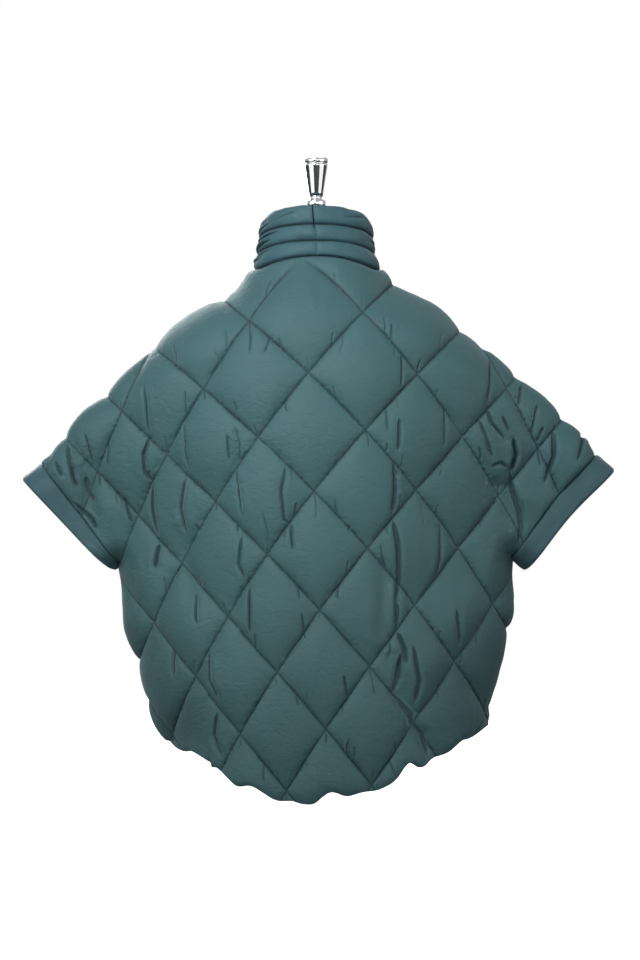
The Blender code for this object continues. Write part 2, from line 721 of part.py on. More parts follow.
def make_torso():
    # The form: a smooth body without limbs, closed at the hip and at the neck.
    loops = []
    for level in TORSO:
        loop = []
        for n in range(TORSO_STEPS):
            turn = 2 * math.pi * n / TORSO_STEPS
            reach = level["back"] if math.sin(turn) > 0 else level["front"]
            loop.append(Vector((level["half_wide"] * math.cos(turn), reach * math.sin(turn), level["z"])))
        loops.append(loop)
    bm = bmesh.new()
    ring_mesh(bm, loops, False)
    finish(bm, "form_torso", "linen")


def make_turned(name, profile, material, steps=18):
    # A turned piece: its half profile is spun round the upright axis.
    bm = bmesh.new()
    verts = [bm.verts.new((radius, 0, height)) for radius, height in profile]
    edges = [bm.edges.new(pair) for pair in zip(verts, verts[1:])]
    bmesh.ops.spin(bm, geom=verts + edges, cent=(0, 0, 0), axis=(0, 0, 1), angle=2 * math.pi,
                   steps=steps, use_merge=True)
    bmesh.ops.remove_doubles(bm, verts=bm.verts, dist=0.01)
    finish(bm, name, material)


def main():
    panels = {
        "back": make_panel("back", "back", BACK_COLUMNS),
        "left": make_panel("front_left", "left", FRONT_COLUMNS),
        "right": make_panel("front_right", "right", FRONT_COLUMNS),
    }
    ring = neck_ring(panels)
    for hand in ("left", "right"):
        collar_edge = make_collar("collar_" + hand, hand, ring)
        make_cuff("cuff_" + hand, hand, panels)
    frames = zip_frames(panels["left"][0], collar_edge)
    make_zip(frames)
    make_slider(frames)
    make_torso()
    make_turned("form_cap", CAP_PROFILE, "metal")
    make_turned("form_finial", FINIAL_PROFILE, "metal")
    pole_top = TORSO_FOOT - SEAM_GAP
    pole_foot = BASE_THICK + SEAM_GAP
    flange = POLE_RADIUS * 2
    make_turned("form_pole", ((0, pole_foot), (flange, pole_foot), (flange, pole_foot + 8),
                              (POLE_RADIUS, pole_foot + 14), (POLE_RADIUS, pole_top), (0, pole_top)), "white")
    make_turned("form_base", ((0, 0), (BASE_RADIUS, 0), (BASE_RADIUS, BASE_THICK - 2),
                              (BASE_RADIUS - 2, BASE_THICK), (0, BASE_THICK)), "white", 32)


for old in list(bpy.data.objects):
    bpy.data.objects.remove(old)
GARMENT = collection_for("quilted_cape")
main()
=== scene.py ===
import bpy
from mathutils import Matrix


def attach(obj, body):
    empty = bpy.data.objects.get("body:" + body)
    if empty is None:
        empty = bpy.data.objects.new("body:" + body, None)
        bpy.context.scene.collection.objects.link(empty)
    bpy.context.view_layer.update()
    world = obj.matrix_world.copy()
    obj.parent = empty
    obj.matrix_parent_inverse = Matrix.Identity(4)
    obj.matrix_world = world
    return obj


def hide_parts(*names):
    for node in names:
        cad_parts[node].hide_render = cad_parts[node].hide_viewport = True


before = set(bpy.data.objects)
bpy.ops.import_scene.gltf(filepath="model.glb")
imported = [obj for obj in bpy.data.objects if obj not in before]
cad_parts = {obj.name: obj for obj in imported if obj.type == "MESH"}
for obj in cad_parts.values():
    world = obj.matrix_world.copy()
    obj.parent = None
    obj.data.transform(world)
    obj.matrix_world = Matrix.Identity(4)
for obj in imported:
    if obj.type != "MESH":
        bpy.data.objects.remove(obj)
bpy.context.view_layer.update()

# A quilted batwing cape, zipped up the front, on a counter dress form with a chrome finial.
# Lengths are in millimetres in the settings and while a piece is shaped, and become metres
# when the piece is finished. The back of the cape faces +Y, the wearer's left is +X.

import math
import random
from bisect import bisect_right

import bmesh
import bpy
from mathutils import Vector, kdtree, noise

# The cut of the garment, shared by its panels, cuffs and collar.

# The folded-flat outline from the neck over the shoulder to the cuff, along the cuff seam
# to the armpit and down the side to the hem.
garmentCut = {
    "columns": ("rows", "leftX", "leftZ", "rightX", "rightZ", "backZ", "frontZ", "sag", "rounding"),
    "stations": [
        (2, 86, 808, -90, 806, 826, 772, 2.0, 75),     # neck
        (3, 111, 773, -126, 772, 793, 738, 2.0, 75),   # collarbone
        (3, 168, 743, -179, 743, 750, 700, 1.8, 70),   # shoulder
        (2, 215, 713, -216, 713, 702, 655, 1.5, 62),   # deltoid
        (3, 247, 684, -253, 684, 656, 612, 1.5, 56),   # upper arm
        (3, 302, 625, -317, 625, 602, 566, 1.5, 48),   # elbow
        (2, 351, 580, -383, 565, 554, 530, 1.5, 42),   # forearm
        (5, 408, 516, -416, 530, 506, 492, 1.5, 38),   # top of the cuff
        (5, 351, 444, -352, 462, 425, 415, 1.5, 38),   # middle of the cuff
        (4, 296, 371, -294, 381, 340, 335, 1.5, 42),   # armpit
        (4, 282, 300, -289, 306, 258, 262, 2.0, 80),   # side
        (4, 256, 212, -263, 218, 170, 190, 2.5, 110),  # waist
        (4, 242, 150, -256, 170, 82, 124, 3.0, 130),   # hip
        (0, 219, 106, -256, 129, 17, 76, 2.2, 140),    # hem
    ],
    "cuffTop": 7,
    "cuffMiddle": 8,
    "armpit": 9,
    "hemSkew": {"back": 0.1, "front": 0.0},
    "seamGap": 0.3,
    "zipGap": 10.0,
    "hemReach": 0.55,        # how much of the last row of the cut is drawn up with the hem
    "hemUneven": (1.5, 17),
    "hemSteady": 45,         # how far from the side seams it starts
    # where the hem is drawn up by lines and folds that meet it: place across, rise, half width
    "hemNotches": {
        "back": [(172, 21, 28), (148, 15, 20), (126, 8, 12), (90, 20, 26), (36, 11, 26), (-20, 21, 21),
                 (-62, 10, 26), (-108, 6, 18), (-134, 24, 15), (-170, 11, 16), (-208, 8, 16), (226, 5, 12)],
        "front": [(196, 6, 14), (150, 4, 20), (98, 7, 14), (52, 3, 18), (-44, 4, 18), (-96, 7, 14),
                  (-150, 5, 22), (-204, 6, 14)],
    },
}
hemStation = len(garmentCut["stations"]) - 1

# How far the cloth stands from the middle plane, out in the sleeve and over the body.
garmentDepth = {
    "columns": ("z", "wing", "back", "front", "spread"),
    "levels": [
        (-20, 102, 190, 180, 220), (150, 98, 190, 184, 220), (260, 82, 187, 186, 215),
        (360, 50, 182, 186, 205), (460, 40, 175, 184, 210), (560, 38, 166, 178, 230),
        (640, 40, 156, 160, 232), (700, 45, 143, 134, 225), (742, 48, 126, 112, 205),
        (775, 52, 106, 93, 185), (808, 58, 84, 84, 165), (832, 62, 72, 80, 150),
    ],
    "bulgePower": 2.6,
    "bulgeRate": 0.9,
}


def noiseAt(x, y, z):
    return noise.noise(Vector((x, y, z)))


def clip(share):
    return max(0.0, min(1.0, share))


def bell(off, half):
    return math.exp(-(off / half) ** 2)


def rounded(share):
    # from 0 to 1 along a quarter circle, steep at first
    return math.sqrt(1 - (1 - share) ** 2)


def smoothCurve(xs, ys, x):
    # a smooth curve through the points that never swings past them
    if x <= xs[0]:
        return ys[0]
    if x >= xs[-1]:
        return ys[-1]
    i = bisect_right(xs, x) - 1
    slopes = [(ys[k + 1] - ys[k]) / (xs[k + 1] - xs[k]) for k in range(len(xs) - 1)]

    def tangent(k):
        if k == 0:
            return slopes[0]
        if k == len(xs) - 1:
            return slopes[-1]
        a, b = slopes[k - 1], slopes[k]
        return 0.0 if a * b <= 0 else 2 * a * b / (a + b)

    h = xs[i + 1] - xs[i]
    t = (x - xs[i]) / h
    return ((1 + 2 * t) * (1 - t) ** 2 * ys[i] + t * (1 - t) ** 2 * h * tangent(i)
            + t * t * (3 - 2 * t) * ys[i + 1] - t * t * (1 - t) * h * tangent(i + 1))


def readTable(table, column, at):
    # a column of a piece's table, between its rows
    k = table["columns"].index(column)
    return smoothCurve([row[0] for row in table["levels"]], [row[k] for row in table["levels"]], at)


def station(column, s, corners=False):
    # a column of the cut at place s; the outline itself turns sharply at the cuff's two ends
    first, last = 0, hemStation
    if corners:
        if s <= garmentCut["cuffTop"]:
            last = garmentCut["cuffTop"]
        elif s <= garmentCut["armpit"]:
            first, last = garmentCut["cuffTop"], garmentCut["armpit"]
        else:
            first = garmentCut["armpit"]
    k = garmentCut["columns"].index(column)
    places = list(range(first, last + 1))
    return smoothCurve(places, [garmentCut["stations"][n][k] for n in places], s)


def rowPlaces(fineness, crowd):
    # the place of each grid row, if asked closer together at the cuff seam's two ends
    places = []
    for k, row in enumerate(garmentCut["stations"][:-1]):
        steps = row[0] * fineness
        for n in range(steps):
            t = n / steps
            if crowd and k == garmentCut["cuffTop"]:
                t = 1 - math.cos(t * math.pi / 2)
            elif crowd and k == garmentCut["cuffMiddle"]:
                t = math.sin(t * math.pi / 2)
            places.append(k + t)
    return places + [float(hemStation)]


def cutRow(s, inner, side):
    # what every point of one grid row needs from the cut
    armpit = garmentCut["armpit"]
    return {
        "s": s,
        "left": Vector((station("leftX", s, True), station("leftZ", s, True))),
        "right": Vector((station("rightX", s, True), station("rightZ", s, True))),
        "mean": (station("leftZ", inner, True) + station("rightZ", inner, True)) / 2,
        "middle": station(side + "Z", inner),
        "sag": station("sag", s),
        "skew": garmentCut["hemSkew"][side] * max(0.0, (s - armpit) / (hemStation - armpit)),
    }


def cutPoint(row, across):
    # the point of the flat outline, from 1 at its left edge to -1 at its right
    edge = row["left"].lerp(row["right"], (1 - across) / 2)
    bent = across - row["skew"] * (1 - across * across)
    rise = max(0.0, 1 - bent * bent) ** (row["sag"] / 2)
    settle = (row["mean"] - (row["left"].y + row["right"].y) / 2) * (1 - across ** 2)
    return edge.x, edge.y + settle + (row["middle"] - row["mean"]) * rise


def hemRise(x, row, side):
    # how far the hem is drawn up here, by its notches and its unevenness
    share = max(0.0, 1 - (hemStation - row["s"]) / garmentCut["hemReach"])
    if not share:
        return 0.0
    most, length = garmentCut["hemUneven"]
    rise = most * noiseAt(x / length, 4.4 if side == "back" else 9.2, 0)
    for place, most, half in garmentCut["hemNotches"][side]:
        rise += most * bell(x - place, half)
    # the side seams' ends stay where they are, for the panels are sewn together there
    inside = min(1.0, max(0.0, min(row["left"].x - x, x - row["right"].x)) / garmentCut["hemSteady"])
    return rise * share ** 1.5 * inside ** 2 * (3 - 2 * inside)


def sewnEdges(steps=40):
    # the outline's sewn stretches, both shoulders and both sides, as short straight pieces
    pieces = []
    for hand in ("left", "right"):
        for first, last in ((0, garmentCut["cuffTop"]), (garmentCut["armpit"], hemStation)):
            run = []
            for n in range((last - first) * steps + 1):
                s = first + n / steps
                if first and n == 0:
                    s += 1e-6
                run.append((Vector((station(hand + "X", s, True), station(hand + "Z", s, True))),
                            station("rounding", s)))
            pieces += list(zip(run, run[1:]))
    return pieces


edgePieces = sewnEdges()
edgeTree = kdtree.KDTree(len(edgePieces))
for number, (start, end) in enumerate(edgePieces):
    edgeTree.insert(((start[0] + end[0]) / 2).to_3d(), number)
edgeTree.balance()


def sewnGap(x, z):
    # distance to the nearest sewn edge, and how wide the cloth's turn is there
    here = Vector((x, z))
    best, radius = 1e9, 1.0
    for _, number, _ in edgeTree.find_n(here.to_3d(), 3):
        (a, ra), (b, rb) = edgePieces[number]
        run = b - a
        t = clip((here - a).dot(run) / run.length_squared)
        gap = (here - a - run * t).length
        if gap < best:
            best, radius = gap, ra + t * (rb - ra)
    return best, radius


def roundness(x, z):
    # from 0 on a sewn edge to 1 where the cloth has turned fully onto its face
    gap, radius = sewnGap(x, z)
    return rounded(min(1.0, gap / radius))


depthCache = {}


def depthAt(x, z, side):
    # how far the cloth's inner face stands from the middle plane
    level = round(z, 1)
    if (level, side) not in depthCache:
        depthCache[level, side] = [readTable(garmentDepth, column, z) for column in ("wing", side, "spread")]
    wing, body, spread = depthCache[level, side]
    bulge = math.exp(-garmentDepth["bulgeRate"] * (abs(x) / spread) ** garmentDepth["bulgePower"])
    return (wing + (body - wing) * bulge) * roundness(x, z)


# Diamond quilting.

# Half a diamond's width and height on the cloth, where its first crossing lies, and how the
# drape leans, wraps and droops the pattern.
quilting = {
    "back": {"halfWide": 84.5, "halfTall": 86.8, "top": 739.0, "first": -1.18, "tilt": 0.061,
             "droop": 6.2e-4, "lean": 0.043, "wrap": 3.8e-4, "stretch": 1.45e-6},
    "front": {"halfWide": 84.5, "halfTall": 86.8, "top": 700.0, "first": 0.0, "tilt": 0.0,
              "droop": 5.0e-4, "lean": 0.0, "wrap": 3.8e-4, "stretch": 1.45e-6},
    "droopFade": 556.0,
    "linePitch": 121.0,      # between two parallel stitch lines, measured square to them
}


def quiltPlace(x, z, side):
    # place between the two families of stitch lines; a whole number is on a line
    q = quilting[side]
    down = q["top"] - z
    flat = (x + q["lean"] * down) / (1 - q["wrap"] * down)
    across = (flat + q["stretch"] * flat ** 3) / q["halfWide"] + q["first"]
    droop = q["droop"] * clip(1 - down / quilting["droopFade"])
    along = (down - q["tilt"] * x - droop * x * x) / q["halfTall"]
    length = padding["wanderLength"]
    stray = padding["wander"] * noiseAt(x / length, z / length, 3.3)
    return (along + across) / 2 + stray, (along - across) / 2 - stray


def snapToStitches(x, z, side, most):
    # moves a grid point onto a stitch line that is close to it
    for _ in range(2):
        for family in (0, 1):
            at = quiltPlace(x, z, side)[family]
            gx = quiltPlace(x + 1, z, side)[family] - at
            gz = quiltPlace(x, z + 1, side)[family] - at
            slope = math.hypot(gx, gz)
            off = (at - round(at)) / slope
            if abs(off) < most:
                x -= off * gx / slope
                z -= off * gz / slope
                most -= abs(off)
    return x, z


# Padding and creases.

padding = {
    "wall": 2.0,             # thickness where the cloth is stitched flat
    "puff": 13.0,            # height of a filled diamond
    "roundness": 0.42,       # how steeply a puff rises from its stitching
    "atSeam": 0.45,          # share of the puff that is left at a seam
    "seamFade": 22.0,
    "seamShared": 15.0,      # how far from a seam the fronts still follow the back
    "unsewnNeck": 32.0,      # how far below the collar the stitch lines end
    "armpitFade": 75.0,
    "uneven": 0.14,          # how much the filling differs from diamond to diamond
    "settled": 0.16,         # how far it has sunk to the lower half of each diamond
    "pucker": 0.55,          # height of the small gathers along the stitching
    "puckerReach": 12.0,
    "puckerLength": 7.0,
    "fullShade": 3.4,        # depth from which a crease's painted shade is as dark as that beside the stitching
    "mostShade": 2.0,        # a deeper crease gets a wider line of painted shade
    "creaseReach": 12.0,     # how far from a crease its distance is still known
    "creaseFade": 6.5,
    "creaseGain": 1.5,       # the depths in the list of creases are taken this many times
    "valleyPower": 1.25,
    # the cloth rolled up beside a crease: share of its depth, place and half width in its widths
    "rolls": ((0.42, 2.6, 1.3), (0.2, -2.4, 1.1)),
    "ripple": 0.9,           # soft unevenness of the cloth between the stitches
    "rippleLength": 34.0,
    "wander": 0.007,         # how far the sewn lines stray, as a share of their pitch
    "wanderLength": 26,
    "cuffClear": 40.0,       # how near the cuff seam the cloth's thickness stops leaning to it
    "cuffTurn": 0.4,         # and how much it is turned to the face there
    "lining": 1.5,
    "liningShort": 7.0,      # how much higher the lining ends than the hem
    "liningIn": 16.0,        # how far behind the shoulder seams its edge lies
}
# Short sharp tucks that start at the stitching.
tucks = {
    "count": 460,
    "tries": 6000,
    "seed": 41,
    "across": (-400, 400),
    "heights": (20, 760),
    "length": (8, 26),
    "depth": (0.9, 2.9),
    "width": (1.4, 2.1),
    "lean": 0.16,
    "bend": 0.09,            # of its length
    "longShare": 0.16,       # share of the tucks that reach most of the way to the next line
    "longer": 2.6,
    "upShare": 0.55,         # share that run up from their stitch line
    "patch": 110,            # size of the patches with more and with fewer tucks
    "sparse": (-0.35, 0.3),
    "snap": 40,
    "offLine": 0.03,
}

# The creases that show, each its depth and width, then the points of its line in x and z. The
# cloth bunches into a low ridge on both sides of each.
creases = {
    "back": [
        # left sleeve and side
        (2.6, 2.5, 248, 632, 245, 605, 243, 560), (3.4, 2.5, 243, 560, 250, 533, 249, 509, 238, 492),
        (3.8, 2.9, 238, 491, 237, 453, 228, 408), (2.4, 2.5, 191, 578, 186, 539, 182, 508),
        (3.0, 2.9, 189, 495, 192, 453, 185, 411), (4.0, 3.4, 228, 398, 231, 363),
        (2.4, 2.1, 306, 554, 306, 515), (4.2, 2.9, 367, 543, 360, 501, 355, 485),
        (3.4, 2.5, 360, 461, 333, 437, 325, 422), (4.0, 2.7, 342, 500, 338, 478, 328, 462),
        (3.0, 2.3, 384, 518, 377, 500), (4.2, 2.9, 306, 381, 300, 357), (2.6, 2.5, 338, 560, 330, 520),
        (3.0, 2.9, 282, 470, 270, 430),
        # across the back
        (2.4, 2.5, 114, 509, 108, 477, 103, 440), (2.2, 2.5, 105, 412, 108, 371, 100, 350),
        (2.4, 2.5, 43, 515, 49, 477, 45, 437, 39, 431), (2.2, 2.5, 36, 430, 33, 392),
        (2.0, 2.1, 126, 560, 123, 522), (2.2, 2.5, -124, 677, -123, 630),
        (2.6, 2.5, -118, 584, -117, 536), (2.2, 2.5, -186, 599, -184, 543),
        (4.2, 2.9, -112, 521, -112, 477, -108, 443),
        (4.6, 3.4, -110, 434, -115, 402, -118, 344, -115, 315),
        (2.8, 2.9, -178, 429, -177, 378, -171, 344), (4.6, 3.4, -115, 342, -115, 273),
        (4.4, 3.4, -117, 272, -126, 246, -128, 225), (4.0, 3.4, -120, 240, -118, 206, -110, 183),
        (7.0, 4.6, -110, 183, -137, 153, -138, 141, -153, 125, -163, 84),
        (3.4, 2.9, -138, 250, -146, 201, -142, 168),
        # right sleeve
        (3.0, 2.5, -254, 666, -252, 632, -249, 608), (3.6, 2.9, -250, 600, -257, 577, -275, 553),
        (2.6, 2.5, -238, 585, -249, 551, -257, 528), (3.0, 2.3, -256, 516, -269, 521, -279, 514),
        (2.6, 2.3, -272, 590, -282, 566), (6.6, 3.2, -288, 556, -293, 533, -285, 508),
        (2.8, 2.3, -300, 630, -298, 604), (3.2, 2.3, -334, 570, -327, 552),
        (3.4, 2.5, -390, 560, -391, 546, -386, 520),
        (7.4, 3.8, -284, 508, -290, 480, -301, 447, -304, 424, -301, 400),
        (5.2, 3.0, -350, 566, -352, 532, -339, 490), (2.4, 2.5, -322, 600, -318, 560),
        # low on the left
        (2.6, 2.5, 172, 326, 169, 281), (2.6, 2.5, 94, 338, 93, 303, 94, 269),
        (2.8, 2.9, 153, 243, 150, 201, 138, 176), (2.8, 2.9, 140, 156, 141, 122, 132, 89),
        (2.0, 2.5, 20, 300, 16, 262), (2.2, 2.5, -40, 210, -46, 176), (2.6, 2.9, 205, 250, 200, 205),
        (2.8, 2.9, -200, 300, -206, 252),
    ],
    "front": [
        (2.6, 2.5, 120, 650, 118, 600, 122, 556), (2.6, 2.9, 64, 560, 60, 512, 66, 470),
        (3.0, 2.9, 66, 430, 58, 380, 60, 340), (3.4, 2.9, 132, 500, 124, 440, 128, 396),
        (2.8, 2.5, 190, 600, 186, 548, 178, 510), (3.6, 2.9, 236, 560, 232, 510, 238, 470),
        (3.8, 2.9, 238, 450, 230, 410), (3.4, 2.5, 300, 560, 296, 500, 288, 466),
        (3.6, 2.9, 352, 540, 340, 490), (4.0, 2.9, 300, 400, 290, 372),
        (3.0, 2.9, 180, 360, 172, 300, 176, 262), (3.6, 3.4, 112, 320, 104, 262, 110, 216),
        (2.4, 2.5, 60, 250, 54, 196), (4.0, 3.4, 150, 220, 142, 160), (2.8, 2.9, 214, 260, 206, 200),
        (2.4, 2.5, -118, 640, -122, 590, -116, 548), (2.2, 2.5, -70, 600, -66, 548),
        (3.0, 2.9, -62, 470, -66, 420, -58, 378), (4.0, 3.4, -128, 540, -134, 470, -126, 420),
        (2.8, 2.5, -196, 590, -190, 540, -194, 498), (3.8, 2.9, -244, 570, -248, 510, -240, 470),
        (3.6, 2.9, -304, 570, -300, 508, -292, 470), (3.0, 2.5, -350, 560, -344, 508),
        (4.0, 2.9, -288, 430, -282, 400), (3.0, 2.9, -176, 400, -182, 340, -174, 296),
        (4.2, 3.4, -110, 360, -104, 300, -112, 250), (2.4, 2.5, -64, 290, -60, 236),
        (4.0, 3.4, -140, 250, -148, 190, -142, 150), (3.0, 2.9, -210, 300, -216, 240),
    ],
}
# The few large soft folds that the construction model has too.
largeFolds = {
    "back": [(-105, 245, -160, 80, 9, 13), (-262, 500, -308, 425, 8, 12), (352, 520, 318, 400, 7, 12),
             (-98, 380, -92, 262, 5, 10), (196, 430, 176, 300, 5, 11)],
    "front": [(120, 330, 150, 120, 7, 14), (-130, 300, -155, 130, 7, 14), (330, 520, 300, 410, 7, 12),
              (-340, 532, -312, 452, 6, 12)],
}


def alongSegment(x, z, x0, z0, x1, z1):
    # share of the way along and distance from a straight line
    dx, dz = x1 - x0, z1 - z0
    t = clip(((x - x0) * dx + (z - z0) * dz) / (dx * dx + dz * dz))
    return t, math.hypot(x - x0 - t * dx, z - z0 - t * dz)


def placedCreases(side):
    # the listed creases, each its line of points, its depth and its width
    return [(tuple(zip(points[::2], points[1::2])), deep * padding["creaseGain"], wide)
            for deep, wide, *points in creases[side]]


squareSize = 5


def squaresOf(line, grow):
    # the small squares of cloth that a line passes through, with those round them if asked
    found = set()
    for (x0, z0), (x1, z1) in zip(line, line[1:]):
        steps = max(1, int(math.hypot(x1 - x0, z1 - z0) / 3))
        for n in range(steps + 1):
            i, j = [round((a + (b - a) * n / steps) / squareSize) for a, b in ((x0, x1), (z0, z1))]
            found.update((i + di, j + dj) for di in grow for dj in grow)
    return found


def shortTucks(side):
    # short tucks from the stitch lines, mostly upright as the cloth hangs, uneven in number
    draw = random.Random(tucks["seed"] + len(side))
    found, taken = [], set()
    for line, _, _ in placedCreases(side):
        taken |= squaresOf(line, (-1, 0, 1))
    for _ in range(tucks["tries"]):
        if len(found) == tucks["count"]:
            break
        x, z = draw.uniform(*tucks["across"]), draw.uniform(*tucks["heights"])
        length, depth = draw.uniform(*tucks["length"]), draw.uniform(*tucks["depth"])
        lean = draw.gauss(0, tucks["lean"])
        if draw.random() < tucks["longShare"]:
            length *= tucks["longer"]
        up = 1 if draw.random() < tucks["upShare"] else -1
        crowd = noiseAt(x / tucks["patch"], z / tucks["patch"], tucks["seed"])
        if crowd < draw.uniform(*tucks["sparse"]):
            continue
        for _ in range(3):
            x, z = snapToStitches(x, z, side, tucks["snap"])
        if min(abs(place - round(place)) for place in quiltPlace(x, z, side)) > tucks["offLine"]:
            continue
        bend = draw.uniform(-tucks["bend"], tucks["bend"]) * length
        line = ((x, z), (x + lean * length / 2 + bend, z + up * length / 2),
                (x + lean * length, z + up * length))
        if taken & squaresOf(line, (0,)):
            continue
        taken |= squaresOf(line, (-1, 0, 1))
        found.append((line, depth, draw.uniform(*tucks["width"])))
    return found


bucketSize = 16


def sortCreases(side):
    # every crease's straight stretches, by the squares of the cloth that they can reach
    buckets = {}
    for number, (line, deep, wide) in enumerate(placedCreases(side) + shortTucks(side)):
        count = len(line) - 1
        lean = 1 if noiseAt(line[0][0] * 0.13, line[0][1] * 0.13, number * 1.7) > 0 else -1
        reach = max(wide * 5, padding["creaseReach"])
        for k in range(count):
            (x0, z0), (x1, z1) = line[k], line[k + 1]
            item = (number, x0, z0, x1, z1, k / count, 1 / count, deep, wide, lean)
            low = [int((min(ends) - reach) // bucketSize) for ends in ((x0, x1), (z0, z1))]
            high = [int((max(ends) + reach) // bucketSize) for ends in ((x0, x1), (z0, z1))]
            for i in range(low[0], high[0] + 1):
                for j in range(low[1], high[1] + 1):
                    buckets.setdefault((i, j), []).append(item)
    return buckets


creaseBuckets = {side: sortCreases(side) for side in ("back", "front")}


def creasesNear(x, z, side):
    # the nearest place on each crease within reach: distance and side, share along, sizes
    near = {}
    for number, x0, z0, x1, z1, start, part, deep, wide, lean in \
            creaseBuckets[side].get((int(x // bucketSize), int(z // bucketSize)), ()):
        t, away = alongSegment(x, z, x0, z0, x1, z1)
        if away >= max(wide * 5, padding["creaseReach"]):
            continue
        if number not in near or away < abs(near[number][0]):
            hand = 1 if (x - x0) * (z1 - z0) - (z - z0) * (x1 - x0) > 0 else -1
            near[number] = (away * hand * lean, start + t * part, deep, wide)
    return near.values()


def creaseProfile(r):
    # a sharp valley with the slack cloth rolled up beside it, mostly on one side
    depth = math.exp(-abs(r) ** padding["valleyPower"])
    for share, place, half in padding["rolls"]:
        depth -= share * bell(r - place, half)
    return depth


def creaseAt(x, z, side):
    # the creases' depth here, the signed distance to the nearest and the strength of its painted
    # shade, where 1 is as dark as the painted shade beside the stitching
    total, nearest, second, strength = 0.0, padding["creaseReach"], 2 * padding["creaseReach"], 0.0
    for off, place, deep, wide in creasesNear(x, z, side):
        share = min(1.0, 4 * place + 0.1, 4 * (1 - place) + 0.1)
        total += deep * share * creaseProfile(off / wide)
        if abs(off) < abs(nearest):
            nearest, second = off, abs(nearest)
            strength = min(padding["mostShade"], deep / padding["fullShade"])
            strength *= min(1.0, 8 * place + 0.3, 7 * (1 - place))
        else:
            second = min(second, abs(off))
    strength *= clip((padding["creaseFade"] - abs(nearest)) / 3)
    # no painted shade line between two creases that lie close together
    strength *= clip((second - abs(nearest) - 0.5) / 2)
    return total, nearest, strength


def largeFoldAt(x, z, side):
    total = 0.0
    for x0, z0, x1, z1, deep, wide in largeFolds[side]:
        t, away = alongSegment(x, z, x0, z0, x1, z1)
        total += deep * bell(away, wide) * math.sin(math.pi * t) ** 0.5
    return total


def padAt(x, z, side):
    # the padding's height, the same on both sides of a seam: the fronts follow the back there
    height, off, strength = puffAt(x, z, side)
    if side == "front":
        share = bell(sewnGap(x, z)[0], padding["seamShared"])
        if share > 0.01:
            height += (puffAt(x, z, "back")[0] - height) * share
            strength *= 1 - share
    return height, off, strength


def puffAt(x, z, side):
    # height of the filled diamond above its stitching, with its gathers and creases, and the
    # nearest crease's distance and the strength of its painted shade
    a, b = quiltPlace(x, z, side)
    ra, rb = a - math.floor(a), b - math.floor(b)
    cell = math.sin(math.pi * ra) * math.sin(math.pi * rb)
    shape = max(0.0, cell) ** padding["roundness"]
    filling = 1 + padding["uneven"] * noiseAt(math.floor(a) * 3.7, math.floor(b) * 5.3, 7.1)
    sunk = 1 + padding["settled"] * (ra + rb - 1)
    height = padding["puff"] * shape * filling * sunk
    # small gathers run square to each stitch line and die away from it
    pitch = quilting["linePitch"]
    seed = 0 if side == "back" else 40
    for family, here, along in ((0, a, b), (1, b, a)):
        off = abs(here - round(here)) * pitch
        line = round(here) * 11.3 + family * 57.1 + seed
        flank = 1 if here > round(here) else 2
        wave = noiseAt(along * pitch / padding["puckerLength"], line, flank * 9.7)
        wave += 0.5 * noiseAt(along * pitch / padding["puckerLength"] * 2.1, line, flank * 3.1)
        rise = 1 - math.exp(-off / 2.5)
        height += padding["pucker"] * wave * rise * math.exp(-off / padding["puckerReach"]) * 1.6
    across, up = x / padding["rippleLength"], z / padding["rippleLength"]
    ripple = noiseAt(across * 1.5, up * 0.8, seed)
    ripple += 0.5 * noiseAt(across * 3.4, up * 2, seed + 5)
    height += padding["ripple"] * ripple * shape
    crease, off, strength = creaseAt(x, z, side)
    height -= crease * min(1.0, shape + 0.15) + largeFoldAt(x, z, side)
    return max(0.0, height), off, strength


# Mesh helpers.

def gridOf(bm, columns, rows, place):
    # a grid whose point (column, row) is put where place says; returns its points by row
    made = bmesh.ops.create_grid(bm, x_segments=columns, y_segments=rows, size=1)["verts"]
    for n, vert in enumerate(made):
        vert.co = place(n % (columns + 1), n // (columns + 1))
    return [made[r * (columns + 1):(r + 1) * (columns + 1)] for r in range(rows + 1)]


def faceOutward(bm, sample, direction):
    bmesh.ops.recalc_face_normals(bm, faces=bm.faces)
    bm.normal_update()
    if sample.normal.dot(direction) < 0:
        bmesh.ops.reverse_faces(bm, faces=bm.faces)
        bm.normal_update()


def joinGrid(bm, points, ends=True):
    # sews a grid's last column to its first, and fills its two ends if asked
    if ends:
        for end in (points[0][:-1], points[-1][:-1]):
            bm.faces.new(end)
    bmesh.ops.remove_doubles(bm, verts=bm.verts, dist=0.001)


def pick(made, kind):
    return [item for item in made if isinstance(item, kind)]


def giveQuiltPlace(bm, placeOf):
    # the piece's own coordinates, for the stitching and the weave
    layer = bm.loops.layers.uv.new("quilt")
    for face in bm.faces:
        for loop in face.loops:
            loop[layer].uv = placeOf(loop.vert)


def addObject(name, data):
    made = bpy.data.objects.new(name, data)
    bpy.context.scene.collection.objects.link(made)
    return made


def finishPiece(bm, name, material, body="cape_on_form", replaces=()):
    # turns a bmesh in millimetres into a piece in metres that rides on a body
    bmesh.ops.recalc_face_normals(bm, faces=bm.faces)
    bmesh.ops.scale(bm, verts=bm.verts, vec=(0.001, 0.001, 0.001))
    mesh = bpy.data.meshes.new(name)
    bm.to_mesh(mesh)
    bm.free()
    mesh.shade_smooth()
    mesh.materials.append(material)
    piece = addObject(name, mesh)
    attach(piece, body)
    if replaces:
        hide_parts(*replaces)
    return piece


# The quilted panels.

panelMesh = {
    "rows": 5,               # grid rows to each row of the cut
    "backColumns": 168,
    "frontColumns": 104,
    "crowding": 0.45,
    "snap": 0.42,
    "liningColumns": 4,      # grid columns to one of the lining's
    "stitchBand": 4.2,       # the grid is finer this close to a stitch line
    "creaseBand": 2.4,       # and this many crease widths from a crease
    "mainCrease": 1.5,       # depth from which a crease gets a grid that is finer again
    "rimFold": 0.55,         # share of the thickness at which the rim turns in
    "liningRows": 3,         # rows of the lining over which it leaves the shoulder seam
}


